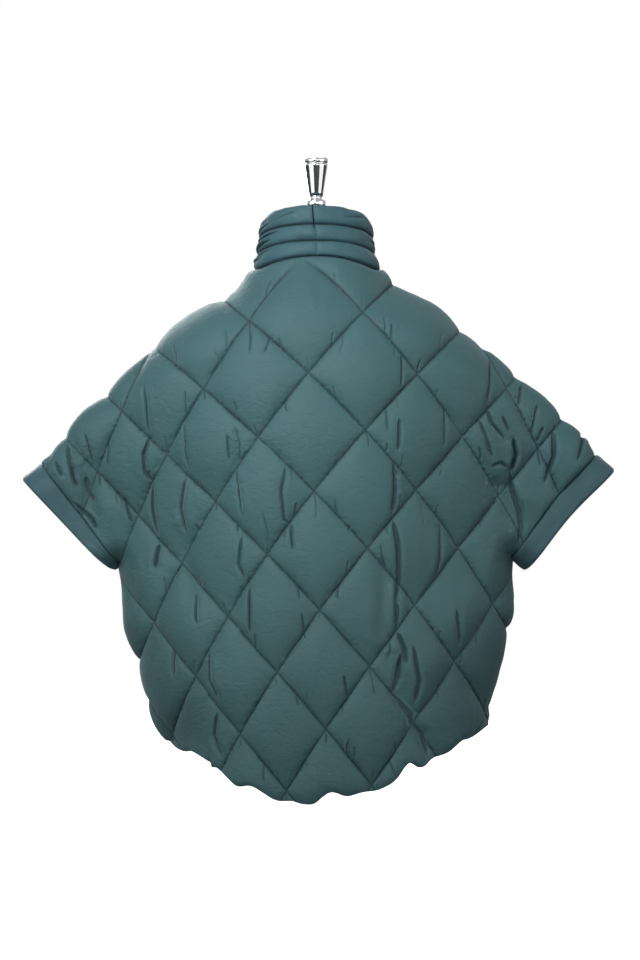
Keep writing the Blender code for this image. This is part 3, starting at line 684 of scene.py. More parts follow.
def crowded(t):
    # spreads grid columns over -1 to 1, closer together at both ends
    even = panelMesh["crowding"]
    return (1 - even) * (1 - 2 * t) + even * math.cos(math.pi * t)


def panelAcross(hand, row, t):
    # place across a row, from -1 to 1, of a panel's column at share t
    if hand == "back":
        return crowded(t)
    middle, half = (row["left"].x + row["right"].x) / 2, (row["left"].x - row["right"].x) / 2
    zipEdge = garmentCut["zipGap"] / 2
    if hand == "left":
        inner = (zipEdge - middle) / half
        return inner + (1 - inner) * crowded(t / 2)
    inner = (-zipEdge - middle) / half
    return inner + (-1 - inner) * -crowded(0.5 + t / 2)


def panelSkin(bm, hand, columns, rows, snap):
    # one skin of a panel on the inner face's surface; its columns run from the left edge
    side = "back" if hand == "back" else "front"
    sign = 1 if side == "back" else -1
    flat = [[cutPoint(row, panelAcross(hand, row, n / columns)) for n in range(columns + 1)]
            for row in rows]
    flat = [[(x, z + hemRise(x, row, side)) for x, z in line] for line, row in zip(flat, rows)]
    last = len(rows) - 1
    halfGap = garmentCut["seamGap"] / 2

    def place(column, r):
        x, z = flat[r][column]
        if snap and 0 < column < columns and 0 < r < last:
            around = (flat[r - 1][column], flat[r + 1][column], flat[r][column - 1], flat[r][column + 1])
            spacing = min(math.hypot(x - px, z - pz) for px, pz in around)
            x, z = snapToStitches(x, z, side, panelMesh["snap"] * spacing)
        sewnFlat = (hand != "right" and column == 0) or (hand != "left" and column == columns)
        if sewnFlat and not garmentCut["cuffTop"] < rows[r]["s"] < garmentCut["armpit"]:
            return Vector((x, sign * halfGap, z))
        return Vector((x, sign * (depthAt(x, z, side) + halfGap), z))

    return gridOf(bm, columns, last, place)


def cuffDirection(hand):
    # the way a sleeve points, in the middle plane and square to its cuff seam
    top, end = garmentCut["cuffTop"], garmentCut["armpit"]
    along = Vector((station(hand + "X", end, True) - station(hand + "X", top, True), 0,
                    station(hand + "Z", end, True) - station(hand + "Z", top, True)))
    return Vector((-along.z, 0, along.x)).normalized() * (1 if hand == "left" else -1)


cuffWay = {hand: cuffDirection(hand) for hand in ("left", "right")}


def clearOfCuff(base, outward, hand, rows, r, c):
    # keeps the cloth's thickness from leaning past the cuff seam next to it
    if not garmentCut["cuffTop"] <= rows[r]["s"] <= garmentCut["armpit"]:
        return outward[r][c]
    turned = outward[r][c].copy()
    for edge, sleeve in ((0, "left"), (-1, "right")):
        if hand in ("back", sleeve):
            out = cuffWay[sleeve]
            share = max(0.0, 1 - (base[r][edge] - base[r][c]).dot(out) / padding["cuffClear"])
            turned -= out * max(0.0, turned.dot(out)) * share
            turned.y += math.copysign(padding["cuffTurn"], base[r][c].y) * share
    return turned.normalized()


def edgeNormal(base, outward, hand, rows, r, c):
    # the way a panel's side edge faces, the same for both pieces that are sewn together there
    if (hand == "left" and c) or (hand == "right" and c == 0):
        return Vector((0, outward[r][c].y, outward[r][c].z)).normalized()
    sign = 1 if c == 0 else -1
    s = rows[r]["s"]
    before, after = base[max(0, r - 1)][c], base[min(len(rows) - 1, r + 1)][c]
    out = cuffWay["left" if c == 0 else "right"]
    if garmentCut["cuffTop"] < s < garmentCut["armpit"]:
        square = (after - before).cross(out)
        return square.normalized() * (1 if square.y * base[r][c].y > 0 else -1)
    if s in (garmentCut["cuffTop"], garmentCut["armpit"]):
        down = 1 if s == garmentCut["armpit"] else -1
        return Vector((out.z, 0, -out.x)) * down * sign
    along = after - before
    return Vector((-along.z, 0, along.x)).normalized() * sign


def seamFades(base, rows):
    # 0 on a sewn edge of the panel to 1 inside it; the hem and the zip edges are sewn too. Also
    # how bare of stitching the cloth is below the collar
    neckTree = kdtree.KDTree(len(base[0]))
    for n, here in enumerate(base[0]):
        neckTree.insert(here, n)
    neckTree.balance()
    places = [row["s"] for row in rows]
    armpit = base[places.index(garmentCut["armpit"])]
    fades, bare = [], []
    for row in base:
        line, plain = [], []
        for c, here in enumerate(row):
            near = min((here - edge).length for edge in (base[0][c], base[-1][c], row[0], row[-1]))
            pit = min((here - armpit[end]).length for end in (0, -1)) - padding["armpitFade"] / 3
            share = min(1.0, near / padding["seamFade"])
            share = rounded(share)
            neck = neckTree.find(here)[2]
            plain.append(clip(1.6 - 1.6 * neck / padding["unsewnNeck"]))
            neck = min(1.0, neck / padding["seamFade"])
            neck = rounded(neck)
            fade = padding["atSeam"] + (1 - padding["atSeam"]) * share
            line.append(max(0.0, min(fade, neck, pit / padding["armpitFade"])))
        fades.append(line)
        bare.append(plain)
    return fades, bare


def foldRim(bm, foot):
    # turns the outer skin's rim in to the inner face over a small fold
    rim = [edge for edge in bm.edges if edge.is_boundary]
    owners = {vert: (vert[foot].copy(), vert.co - vert[foot]) for edge in rim for vert in edge.verts}
    for share in (panelMesh["rimFold"], 0.0):
        made = bmesh.ops.extrude_edge_only(bm, edges=rim)["geom"]
        fresh = {}
        for vert in pick(made, bmesh.types.BMVert):
            partners = [edge.other_vert(vert) for edge in vert.link_edges]
            fresh[vert] = next(owners[partner] for partner in partners if partner in owners)
        for vert, (start, height) in fresh.items():
            vert.co = start + height * share
        rim = pick(made, bmesh.types.BMEdge)
        owners = fresh


def slackLining(lining, base, outward, rows, rowStep, columnStep):
    # draws the coarser lining in, further where its flat facets would cut the cloth, and its
    # own edges behind the seams and above the hem
    moves = []
    shoulder = min(r for r in range(len(lining)) if rows[rowStep * r]["s"] >= garmentCut["cuffTop"])
    for r in range(shoulder):
        for c in (0, len(lining[0]) - 1):
            way = outward[rowStep * r][columnStep * c]
            share = min(1.0, (shoulder - r) / panelMesh["liningRows"])
            moves.append((lining[r][c], way * padding["liningIn"] * share))
    around = [(i, j) for i in (-1, 0, 1) for j in (-1, 0, 1) if i or j]
    for r in range(1, len(lining) - 1):
        for c in range(1, len(lining[0]) - 1):
            worst = 0.0
            for i, j in around:
                chord = (lining[r][c].co + lining[r + i][c + j].co) / 2
                at = (rowStep * r + i * rowStep // 2, columnStep * c + j * columnStep // 2)
                worst = max(worst, (chord - base[at[0]][at[1]]).dot(outward[at[0]][at[1]]))
            moves.append((lining[r][c], outward[rowStep * r][columnStep * c] * (padding["lining"] + worst)))
    for vert, inset in moves:
        vert.co -= inset
    for vert in lining[-1]:
        vert.co.z += padding["liningShort"]


def refineGrid(bm, foot, side):
    # a finer grid along the stitching and the creases, and once more along the main creases
    def stitched(vert):
        a, b = quiltPlace(vert[foot].x, vert[foot].z, side)
        return min(abs(a - round(a)), abs(b - round(b))) * quilting["linePitch"] < panelMesh["stitchBand"]

    def creased(vert, least):
        return any(abs(off) < panelMesh["creaseBand"] * wide and deep > least
                   for off, _, deep, wide in creasesNear(vert[foot].x, vert[foot].z, side))

    for level in (0, 1):
        least = level * panelMesh["mainCrease"]
        inside = {vert for vert in bm.verts if (level == 0 and stitched(vert)) or creased(vert, least)}
        edges = [edge for edge in bm.edges if edge.verts[0] in inside and edge.verts[1] in inside]
        bmesh.ops.subdivide_edges(bm, edges=edges, cuts=1, use_grid_fill=True)


def makePanel(name, hand, columns, node, material):
    side = "back" if hand == "back" else "front"
    fineness = panelMesh["rows"]
    rows = [cutRow(s, inner, side) for s, inner in zip(rowPlaces(fineness, True), rowPlaces(fineness, False))]
    bm = bmesh.new()
    foot = bm.verts.layers.float_vector.new("foot")
    out = bm.verts.layers.float_vector.new("out")
    fade = bm.verts.layers.float.new("fade")
    creaseOff = bm.verts.layers.float.new("creaseOff")
    creaseDeep = bm.verts.layers.float.new("creaseDeep")
    unsewn = bm.verts.layers.float.new("unsewn")
    points = panelSkin(bm, hand, columns, rows, True)
    faceOutward(bm, points[len(rows) // 2][columns // 2], Vector((0, 1 if side == "back" else -1, 0)))
    base = [[vert.co.copy() for vert in row] for row in points]
    outward = [[vert.normal.copy() for vert in row] for row in points]
    for r in range(len(rows)):
        for c in range(1, columns):
            outward[r][c] = clearOfCuff(base, outward, hand, rows, r, c)
        for c in (0, columns):
            outward[r][c] = edgeNormal(base, outward, hand, rows, r, c)
    corner = [row["s"] for row in rows].index(garmentCut["armpit"])
    for sleeve, c in (("left", 0), ("right", columns)):
        if hand in ("back", sleeve):
            # the thickness of the sleeve's underside meets that of the body's side
            way = cuffWay[sleeve]
            under, beside = outward[corner][c], outward[corner + 1][c]
            outward[corner][c] = under + way * ((1 - under.dot(beside)) / way.dot(beside))
    fades, bare = seamFades(base, rows)
    for r, row in enumerate(points):
        for c, vert in enumerate(row):
            vert[foot], vert[out], vert[fade] = base[r][c], outward[r][c], fades[r][c]
            vert[unsewn] = bare[r][c]
    refineGrid(bm, foot, side)
    for vert in bm.verts:
        height, off, strength = padAt(vert[foot].x, vert[foot].z, side)
        vert.co = vert[foot] + vert[out] * (padding["wall"] + height * vert[fade])
        # the nearest crease's distance and the strength of its painted shade, for the material
        vert[creaseOff], vert[creaseDeep] = off, strength * min(1.0, 4 * vert[fade])
    foldRim(bm, foot)
    outer = set(bm.verts)
    lining = panelSkin(bm, hand, columns // panelMesh["liningColumns"], rows[::fineness], False)
    slackLining(lining, base, outward, rows, fineness, panelMesh["liningColumns"])
    bmesh.ops.bridge_loops(bm, edges=[e for e in bm.edges if e.is_boundary])

    def placeOf(vert):
        at = vert[foot] if vert in outer else vert.co
        return quiltPlace(at.x, at.z, side)

    giveQuiltPlace(bm, placeOf)
    for old in (foot, out):
        bm.verts.layers.float_vector.remove(old)
    bm.verts.layers.float.remove(fade)
    piece = finishPiece(bm, name, material, replaces=[node])
    print(name, "faces", len(piece.data.polygons), "triangles",
          sum(len(face.vertices) - 2 for face in piece.data.polygons))
    return base, outward


# The stand collar: three padded rolls, in two halves sewn at the centre back.

# Half width, back and front reach, and height of back, front and sides, from the neck seam
# to the top edge.
collarShape = {
    "columns": ("up", "halfWide", "back", "front", "backZ", "frontZ", "sideZ"),
    "levels": [(0.00, 84, 71, 86, 826, 772, 808), (0.33, 79, 70, 80, 849, 798, 830),
               (0.67, 78, 69, 77, 874.5, 826, 855), (1.00, 70, 64, 70, 903, 858, 883)],
    "seamLean": (-3.0, 4.5),     # where the centre back seam lies at the neck and at the top
    "seamTurn": 0.35,        # how far round the neck its lean carries, in radians
    "edgeUneven": 1.6,
    "radius": 76,            # of the neck, for lengths along the collar
    "rings": 78,
    "rolls": 3,
    "rollTall": 27,
    "puff": 8.2,
    "roundness": 0.34,
    "sunk": 0.12,            # how far each roll hangs over the stitching below it
    "pucker": 0.75,
    "puckerLength": 7.0,
    "crumple": 1.9,
    "crumpleLength": 26.0,
}
# Creases on the left side, where the collar is pressed into thin layers, as turn in degrees
# from the centre back and place up the collar, from one end to the other.
collarCreases = {
    "left": [(40, 0.58, 116, 0.52, 4.4, 0.028), (48, 0.25, 112, 0.17, 4.0, 0.026),
             (50, 0.44, 108, 0.40, 3.6, 0.024), (58, 0.84, 120, 0.80, 2.6, 0.026),
             (56, 0.76, 110, 0.72, 3.2, 0.024), (20, 0.90, 46, 0.78, 1.8, 0.03),
             (62, 0.12, 118, 0.09, 3.0, 0.022), (126, 0.60, 160, 0.52, 2.4, 0.03)],
    "right": [(64, 0.50, 120, 0.54, 2.8, 0.026), (30, 0.80, 62, 0.88, 1.8, 0.03),
              (70, 0.30, 108, 0.26, 2.4, 0.024), (84, 0.18, 130, 0.21, 2.0, 0.03)],
}


def neckRing(panels):
    # the panels' neck edges: each point with its outward way and the way up into the collar
    ring = {}
    for key, (base, outward) in panels.items():
        ring[key] = []
        for c, here in enumerate(base[0]):
            tangent = base[0][min(c + 1, len(base[0]) - 1)] - base[0][max(c - 1, 0)]
            up = tangent.cross(outward[0][c]).normalized()
            ring[key].append((here, outward[0][c], up * (1 if up.z > 0 else -1)))
    return ring


def collarIdeal(sign, turn, up):
    # the collar's inner face at a turn round the neck
    back = (1 + math.cos(turn)) / 2
    columns = ("halfWide", "back" if turn < math.pi / 2 else "front", "backZ", "frontZ", "sideZ")
    wide, reach, backZ, frontZ, sideZ = [readTable(collarShape, column, up) for column in columns]
    side = sideZ - (backZ + frontZ) / 2
    return Vector((sign * wide * math.sin(turn), reach * math.cos(turn),
                   back * backZ + (1 - back) * frontZ + side * math.sin(turn) ** 2))


def makeCollar(name, hand, ring, material):
    sign = 1 if hand == "left" else -1
    half = len(ring["back"]) // 2
    path = ring["back"][half::-1] + ring["left"][1:] if hand == "left" \
        else ring["back"][half:] + ring["right"][-2::-1]
    steps, rings, radius = len(path) - 1, collarShape["rings"], collarShape["radius"]
    turns = []
    for foot, _, _ in path:
        reach = collarShape["levels"][0][2 if foot.y > 0 else 3]
        turns.append(math.atan2(abs(foot.x) / collarShape["levels"][0][1], foot.y / reach))

    def basePoint(column, up):
        turn = turns[column]
        foot, _, along = path[column]
        keep = max(0.0, 1 - up * 1.5) ** 2
        start = collarIdeal(sign, turn, 0)
        point = collarIdeal(sign, turn, up) + (foot + along * garmentCut["seamGap"] - start) * keep
        low, high = collarShape["seamLean"]
        lean = (low + (high - low) * up) * bell(turn, collarShape["seamTurn"]) * min(1.0, up * 6)
        if column == 0:
            point.x = sign * garmentCut["seamGap"] / 2
        point.x += lean
        point.z += collarShape["edgeUneven"] * up ** 3 * noiseAt(sign * turn * 3.2, 2.7, 0)
        if column == steps:
            point.x = sign * garmentCut["zipGap"] / 2
        return point

    def rollAt(column, up):
        # height of the rolls over the inner face, with their gathers and creases
        roll = up * collarShape["rolls"]
        share = roll - math.floor(roll) if roll < collarShape["rolls"] else 1.0
        height = collarShape["puff"] * abs(math.sin(math.pi * share)) ** collarShape["roundness"]
        height *= 1 + collarShape["sunk"] * (0.5 - share) * 2
        around = turns[column] * radius
        seed = 3 if hand == "left" else 8
        near = min(share, 1 - share) * collarShape["rollTall"]
        wave = noiseAt(around / collarShape["puckerLength"], math.floor(roll + 0.5) * 9.3,
                       seed + (4 if share > 0.5 else 0))
        height += collarShape["pucker"] * 1.6 * wave * (1 - math.exp(-near / 1.5)) * math.exp(-near / 6)
        soft = noiseAt(around / collarShape["crumpleLength"], roll * 1.1, seed + 20)
        height += collarShape["crumple"] * soft * abs(math.sin(math.pi * share))
        # the nearest crease's distance and the strength of its painted shade, for the material
        nearest, strength = padding["creaseReach"], 0.0
        for turn0, up0, turn1, up1, deep, wide in collarCreases[hand]:
            t, away = alongSegment(math.degrees(turns[column]) / 90, up, turn0 / 90, up0, turn1 / 90, up1)
            if away < wide * 4:
                r = away / wide
                deep *= math.sin(math.pi * t) ** 0.5
                height -= deep * (math.exp(-r ** 1.5) - 0.3 * bell(r - 2, 0.8))
                if away * radius < nearest:
                    nearest, strength = away * radius, min(1.0, deep / 4)
        ends = min(turns[column], math.pi - turns[column]) * radius + 2
        height *= min(1.0, 0.6 + 0.4 * math.sqrt(min(1.0, ends / 7)))
        return padding["wall"] + max(0.0, height), nearest, strength

    bm = bmesh.new()
    creaseOff = bm.verts.layers.float.new("creaseOff")
    creaseDeep = bm.verts.layers.float.new("creaseDeep")
    points = gridOf(bm, steps, rings, lambda c, r: basePoint(c, r / rings))
    faceOutward(bm, points[rings // 2][steps // 2], Vector((sign, 0, 0)))
    moved = []
    for row, line in enumerate(points):
        for column, vert in enumerate(line):
            normal = vert.normal.copy()
            if column in (0, steps):
                normal.x = 0
                normal.normalize()
            if row == 0:
                normal = path[column][1].copy()
            lift, vert[creaseOff], vert[creaseDeep] = rollAt(column, row / rings)
            moved.append((vert, vert.co + normal * lift))
    for vert, co in moved:
        vert.co = co
    rolls = collarShape["rolls"]
    inner = gridOf(bm, steps, rolls * 2, lambda c, r: basePoint(c, r / rolls / 2))
    place = {}
    for grid, rows in ((points, rings), (inner, rolls * 2)):
        for r, line in enumerate(grid):
            for c, vert in enumerate(line):
                place[vert] = (turns[c] * radius / quilting["linePitch"], r / rows * rolls)
    bmesh.ops.bridge_loops(bm, edges=[e for e in bm.edges if e.is_boundary])
    giveQuiltPlace(bm, place.get)
    piece = finishPiece(bm, name, material, replaces=["collar_" + hand])
    return [basePoint(steps, row / 24) for row in range(25)]


# The cuff bands: plain rings sewn round the sleeves' ends.

cuffShape = {
    "width": 38.0,
    "puff": 3.5,
    "taper": {"left": 0.72, "right": 0.25},   # how much narrower the band is at the armpit
    "armpitLift": 2.6,
    "steps": 16,             # grid points across the band
    "turns": (0.12, 0.1),    # share of the width over which it rises at the seam and at the end
    "dents": 1.7,
    "dentLength": 30.0,
}


def cuffLift(share, along, seed):
    # how far the band's face stands off the sleeve's inner face
    first, last = cuffShape["turns"]
    rise = min(1.0, share / first)
    fall = min(1.0, (1 - share) / last)
    soft = rounded(rise) * rounded(fall)
    dent = noiseAt(along / cuffShape["dentLength"], share * 2.2, seed)
    dent += 0.45 * noiseAt(along / 9, share * 1.6 + along / 40, seed + 3)
    return padding["wall"] + cuffShape["puff"] * soft * 0.95 + cuffShape["dents"] * dent * soft * 0.8


def makeCuff(name, hand, panels, material):
    column = 0 if hand == "left" else -1
    frontBase, frontOut = panels[hand]
    backBase, backOut = panels["back"]
    out = cuffWay[hand]
    places = rowPlaces(panelMesh["rows"], True)
    rows = [k for k, s in enumerate(places) if garmentCut["cuffTop"] <= s <= garmentCut["armpit"]]
    seam = [(backBase[r][column], backOut[r][column], 0) for r in rows]
    seam += [(frontBase[r][column], frontOut[r][column], 0) for r in reversed(rows)]
    for end in (len(rows) - 1, len(rows)):
        here, mitre, _ = seam[end]
        past = mitre.dot(out)
        under = mitre - out * past
        seam[end] = (here - under * cuffShape["armpitLift"], under, past * padding["wall"])
    steps = cuffShape["steps"]
    profile = [(k / steps, 1) for k in range(steps + 1)] + [(1.0, 0), (0.66, 0), (0.33, 0), (0.0, 0)]
    seed = 12 if hand == "left" else 31
    lengths = [0.0]
    for (a, _, _), (b, _, _) in zip(seam, seam[1:]):
        lengths.append(lengths[-1] + (b - a).length)

    def place(n, k):
        share, face = profile[k % len(profile)]
        n %= len(seam)
        here, normal, past = seam[n]
        down = min(n, len(seam) - 1 - n) / (len(rows) - 1)
        width = cuffShape["width"] * (1 - cuffShape["taper"][hand] * down ** 1.5)
        reach = share * width if share else garmentCut["seamGap"] * 1.2 + past
        lift = cuffLift(share, lengths[n], seed) if face else 0.0
        return here + out * reach + normal * lift

    bm = bmesh.new()
    points = gridOf(bm, len(seam), len(profile), place)
    pitch = quilting["linePitch"]
    where = {}
    for k, line in enumerate(points):
        for n, vert in enumerate(line):
            share = profile[k % len(profile)][0]
            where[vert] = (lengths[n % len(seam)] / pitch, share * cuffShape["width"] / pitch)
    giveQuiltPlace(bm, where.get)
    joinGrid(bm, points, ends=False)
    piece = finishPiece(bm, name, material, replaces=["cuff_" + hand])


# The front zip: tape, two rows of moulded teeth, slider and pull tab.

zipShape = {
    # the tape's outline, with a thin ridge along each side of the teeth
    "tape": [(-9.0, -3.0), (9.0, -3.0), (9.0, -2.0), (3.4, -2.0), (3.0, -1.2), (2.2, -1.2),
             (1.8, -2.0), (-1.8, -2.0), (-2.2, -1.2), (-3.0, -1.2), (-3.4, -2.0), (-9.0, -2.0)],
    "tapeStep": 6,
    "pitch": 3.2,            # from one tooth to the next on the same side
    "firstTooth": 4.0,
    "tooth": (2.9, 1.35, 1.9),   # a tooth's reach across, height along and thickness
    "toothOut": 0.85,        # from the middle line to a tooth's middle
    "toothTip": 1.16,        # how much higher a tooth is at its tip, where it locks
    "chainLift": 0.7,        # middle of the teeth over the fronts' inner face
    "sliderDown": 28.4,      # from the top of the tape to the middle of the slider
    "teethAbove": 7.0,       # how far the teeth go on above that middle
    "sliderLow": 1.9,
    "sliderThick": 3.0,
    "pullGap": 0.6,
    "pullThick": 1.6,
    "sharpAngle": 0.5,
    # half widths of the slider and the tab, and how high over the slider's middle each lies
    "slider": ((2.8, 4.3, 4.0, 3.2, 2.6), (8, 6, 2, -4.5, -7)),
    "pull": ((2.1, 2.5, 2.8, 2.9, 3.1, 3.2, 2.6, 1.6), (4.2, 2.7, -2.6, -5, -8, -23, -25.2, -26)),
    "pullWindow": 1,
    "grip": (-23, -8),
    # the crown over the tab's eye: height and lift off the slider's underside
    "crown": [(-1.9, 2.5), (-1.9, 4.1), (-1.3, 5.6), (0.4, 6.5), (3.2, 6.8), (5.7, 6.2), (6.7, 4.6),
              (6.8, 2.5)],
    "crownHalf": 0.95,
    "inset": 0.35,           # depth of the hollows in the slider and the grip
}


def zipLine(front, collarEdge):
    # the centre front's line from the hem up the collar's front edge, and the length along it to each point
    edge = [row[-1] for row in reversed(front)] + collarEdge[1:]
    path = [Vector((0, here.y, here.z)) for here in edge]
    lengths = [0.0]
    for a, b in zip(path, path[1:]):
        lengths.append(lengths[-1] + (b - a).length)
    return path, lengths


def zipPlace(path, lengths, at):
    k = min(max(1, bisect_right(lengths, at)), len(lengths) - 1)
    share = (at - lengths[k - 1]) / max(1e-6, lengths[k] - lengths[k - 1])
    here = path[k - 1].lerp(path[k], clip(share))
    low, high = path[max(0, k - 6)], path[min(len(path) - 1, k + 5)]
    along = (high - low).normalized()
    return here, Vector((0, -along.z, along.y)), along


def makeZip(path, lengths, tapeMaterial, toothMaterial):
    outline = zipShape["tape"]
    count = int(lengths[-1] / zipShape["tapeStep"])
    frames = [zipPlace(path, lengths, lengths[-1] * n / count) for n in range(count + 1)]
    bm = bmesh.new()

    def place(c, r):
        here, outward, _ = frames[r]
        x, lift = outline[c % len(outline)]
        return here + Vector((x, 0, 0)) + outward * lift

    points = gridOf(bm, len(outline), count, place)
    joinGrid(bm, points)
    tape = finishPiece(bm, "zipTape", tapeMaterial, replaces=["zip"])

    bm = bmesh.new()
    wide, tall, thick = zipShape["tooth"]
    at, number = zipShape["firstTooth"], 0
    while at < lengths[-1] - zipShape["sliderDown"] + zipShape["teethAbove"]:
        here, outward, along = zipPlace(path, lengths, at)
        sign = 1 if number % 2 else -1
        tooth = bmesh.ops.create_cube(bm, size=1)["verts"]
        for vert in tooth:
            x, up, lift = vert.co
            tip = 1.0 if x * sign > 0 else zipShape["toothTip"]
            side = Vector((sign * zipShape["toothOut"] + x * wide, 0, 0))
            vert.co = here + side + along * up * tall * tip + outward * (zipShape["chainLift"] + lift * thick)
        at += zipShape["pitch"] / 2
        number += 1
    bmesh.ops.bevel(bm, geom=list(bm.edges), offset=0.3, segments=1, affect="EDGES", profile=0.5,
                    material=-1)
    teeth = finishPiece(bm, "zipTeeth", toothMaterial)
    return tape, teeth


def plateOf(bm, halfWidths, ups, window, low, thick, frameAt):
    # a flat metal part: a grid of three columns and the given rows, thickened; it is bevelled afterwards
    foot, outward, along = frameAt
    rows = len(ups) - 1
    inner = 1.6

    def place(c, r):
        half = halfWidths[r]
        x = (-half, -min(inner, half * 0.6), min(inner, half * 0.6), half)[c]
        return foot + Vector((x, 0, 0)) + along * ups[r] + outward * low

    points = gridOf(bm, 3, rows, place)
    if window is not None:
        hole = [f for f in points[window][1].link_faces
                if points[window + 1][2] in f.verts and points[window + 1][1] in f.verts]
        bmesh.ops.delete(bm, geom=hole, context="FACES_KEEP_BOUNDARY")
    bmesh.ops.recalc_face_normals(bm, faces=bm.faces)
    made = bmesh.ops.extrude_face_region(bm, geom=list(bm.faces))["geom"]
    for vert in pick(made, bmesh.types.BMVert):
        vert.co += outward * thick
    bmesh.ops.recalc_face_normals(bm, faces=bm.faces)
    return pick(made, bmesh.types.BMFace)


def bevelSharp(bm, offset):
    sharp = [e for e in bm.edges if len(e.link_faces) == 2 and e.calc_face_angle() > zipShape["sharpAngle"]]
    bmesh.ops.bevel(bm, geom=sharp, offset=offset, segments=2, affect="EDGES", profile=0.5, material=-1,
                    clamp_overlap=True)


def makeSlider(path, lengths, material):
    foot, outward, along = zipPlace(path, lengths, lengths[-1] - zipShape["sliderDown"])
    frameAt = (foot, outward, along)
    low, thick = zipShape["sliderLow"], zipShape["sliderThick"]
    bm = bmesh.new()
    top = plateOf(bm, *zipShape["slider"], None, low, thick, frameAt)
    bmesh.ops.inset_region(bm, faces=top, thickness=0.8, depth=-zipShape["inset"])
    bevelSharp(bm, 0.3)
    # the crown that holds the tab's eye
    crown = bmesh.new()
    arc, half = zipShape["crown"], zipShape["crownHalf"]

    def place(c, r):
        up, lift = arc[r]
        return foot + Vector(((-half, half)[c], 0, 0)) + along * up + outward * (low + lift)

    gridOf(crown, 1, len(arc) - 1, place)
    bmesh.ops.recalc_face_normals(crown, faces=crown.faces)
    bmesh.ops.solidify(crown, geom=list(crown.faces), thickness=0.8)
    bevelSharp(crown, 0.2)
    joined = bpy.data.meshes.new("crown")
    crown.to_mesh(joined)
    crown.free()
    bm.from_mesh(joined)
    bpy.data.meshes.remove(joined)
    finishPiece(bm, "zipSlider", material, replaces=["zip_slider"])
    bm = bmesh.new()
    low += thick + zipShape["pullGap"]
    face = plateOf(bm, *zipShape["pull"], zipShape["pullWindow"], low, zipShape["pullThick"], frameAt)
    bottom, top = zipShape["grip"]
    grip = [f for f in face if f.is_valid and bottom < (f.calc_center_median() - foot).dot(along) < top]
    bmesh.ops.inset_region(bm, faces=grip, thickness=0.6, depth=-zipShape["inset"])
    bevelSharp(bm, 0.28)
    finishPiece(bm, "zipPull", material, body="pull_tab", replaces=["zip_pull"])


# The dress form.

formShape = {
    # height, half width, back and front reach of the torso
    "torso": [(130, 158, 98, 92), (180, 166, 108, 96), (250, 150, 98, 90), (330, 124, 84, 84),
              (400, 130, 90, 92), (480, 146, 104, 112), (560, 164, 118, 128), (630, 178, 124, 120),
              (690, 184, 118, 104), (720, 185, 108, 92), (740, 164.5, 98, 80), (760, 128.5, 88, 72),
              (785, 86, 76, 64), (815, 66, 66, 60), (850, 58, 60, 57), (878, 56, 56, 56)],
    "torsoSteps": 96,
    "torsoRows": 110,
    "torsoShrink": 1.6,      # keeps the rounder torso inside the space of its plain model
    # narrow dips at the cover's seams: centre back and front, sides and princess lines, in degrees
    "seams": (0, 60, 90, 120, 180, 240, 270, 300),
    "seamDip": 0.8,
    "seamWide": 2.2,
    # turned parts, as half profiles of radius and height
    "cap": [(0, 878.3), (55, 878.3), (55.6, 879.2), (55.6, 881.2), (54.6, 882.2), (50, 885.4),
            (46, 888), (36, 890.4), (26, 891.3), (14, 891.5), (0, 891.5)],
    "finial": [(0, 891.8), (9.4, 891.8), (10, 892.4), (10, 902.4), (10.8, 903.2), (13.6, 904.2),
               (14.5, 905.4), (14.5, 913.2), (13.8, 914.2), (9.6, 915.4), (8.6, 917), (8.5, 919),
               (9.4, 920), (10.5, 921.2), (11.1, 926), (14, 945), (17.2, 966), (17.5, 967.6),
               (17.0, 968.6), (15.7, 969.2), (15.7, 970), (17.2, 970.6), (17.8, 971.4),
               (17.8, 976.4), (17.0, 977.4), (14.5, 978.4), (12, 979), (0, 979)],
    "pole": [(0, 8.3), (31, 8.3), (32, 9.2), (32, 15), (31, 16.2), (24, 17.6), (18, 20), (16, 24),
             (16, 129.7), (0, 129.7)],
    "base": [(0, 0), (119, 0), (120, 1), (120, 5.5), (119.4, 7.2), (117.6, 8), (0, 8)],
}


def makeTorso(material):
    levels = formShape["torso"]
    heights = [level[0] for level in levels]
    steps, rows = formShape["torsoSteps"], formShape["torsoRows"]

    def place(c, r):
        z = heights[0] + 0.4 + (heights[-1] - heights[0] - 0.8) * r / rows
        k = min(len(levels) - 2, max(0, bisect_right(heights, z) - 1))
        share = (z - heights[k]) / (heights[k + 1] - heights[k])
        wide, back, front = [a + (b - a) * share for a, b in zip(levels[k][1:], levels[k + 1][1:])]
        turn = 2 * math.pi * (c % steps) / steps
        reach = back if math.sin(turn) > 0 else front
        seam = min(abs((math.degrees(turn) - line + 180) % 360 - 180) for line in formShape["seams"])
        dip = formShape["torsoShrink"] + formShape["seamDip"] * bell(seam, formShape["seamWide"])
        return Vector(((wide - dip) * math.cos(turn), (reach - dip) * math.sin(turn), z))

    bm = bmesh.new()
    points = gridOf(bm, steps, rows, place)
    joinGrid(bm, points)
    for _ in range(2):
        bmesh.ops.smooth_vert(bm, verts=[v for v in bm.verts if 134 < v.co.z < 870], factor=0.5,
                              use_axis_x=True, use_axis_y=True, use_axis_z=True)
    torso = finishPiece(bm, "formTorso", material, replaces=["form_torso"])


def makeTurned(name, profile, material, node, steps=72):
    # a turned part: its half profile is spun round the upright axis
    bm = bmesh.new()
    verts = [bm.verts.new((radius, 0, height)) for radius, height in profile]
    edges = [bm.edges.new(pair) for pair in zip(verts, verts[1:])]
    bmesh.ops.spin(bm, geom=verts + edges, cent=(0, 0, 0), axis=(0, 0, 1), angle=2 * math.pi,
                   steps=steps, use_merge=True)
    bmesh.ops.remove_doubles(bm, verts=bm.verts, dist=0.01)
    piece = finishPiece(bm, name, material, replaces=[node])
    piece.data.set_sharp_from_angle(angle=math.radians(40))
    return piece


# Materials.

def giveInput(node, key, value):
    # sets a node's input, or links another node's output to it
    if isinstance(value, bpy.types.NodeSocket):
        node.id_data.links.new(value, node.inputs[key])
    else:
        node.inputs[key].default_value = value


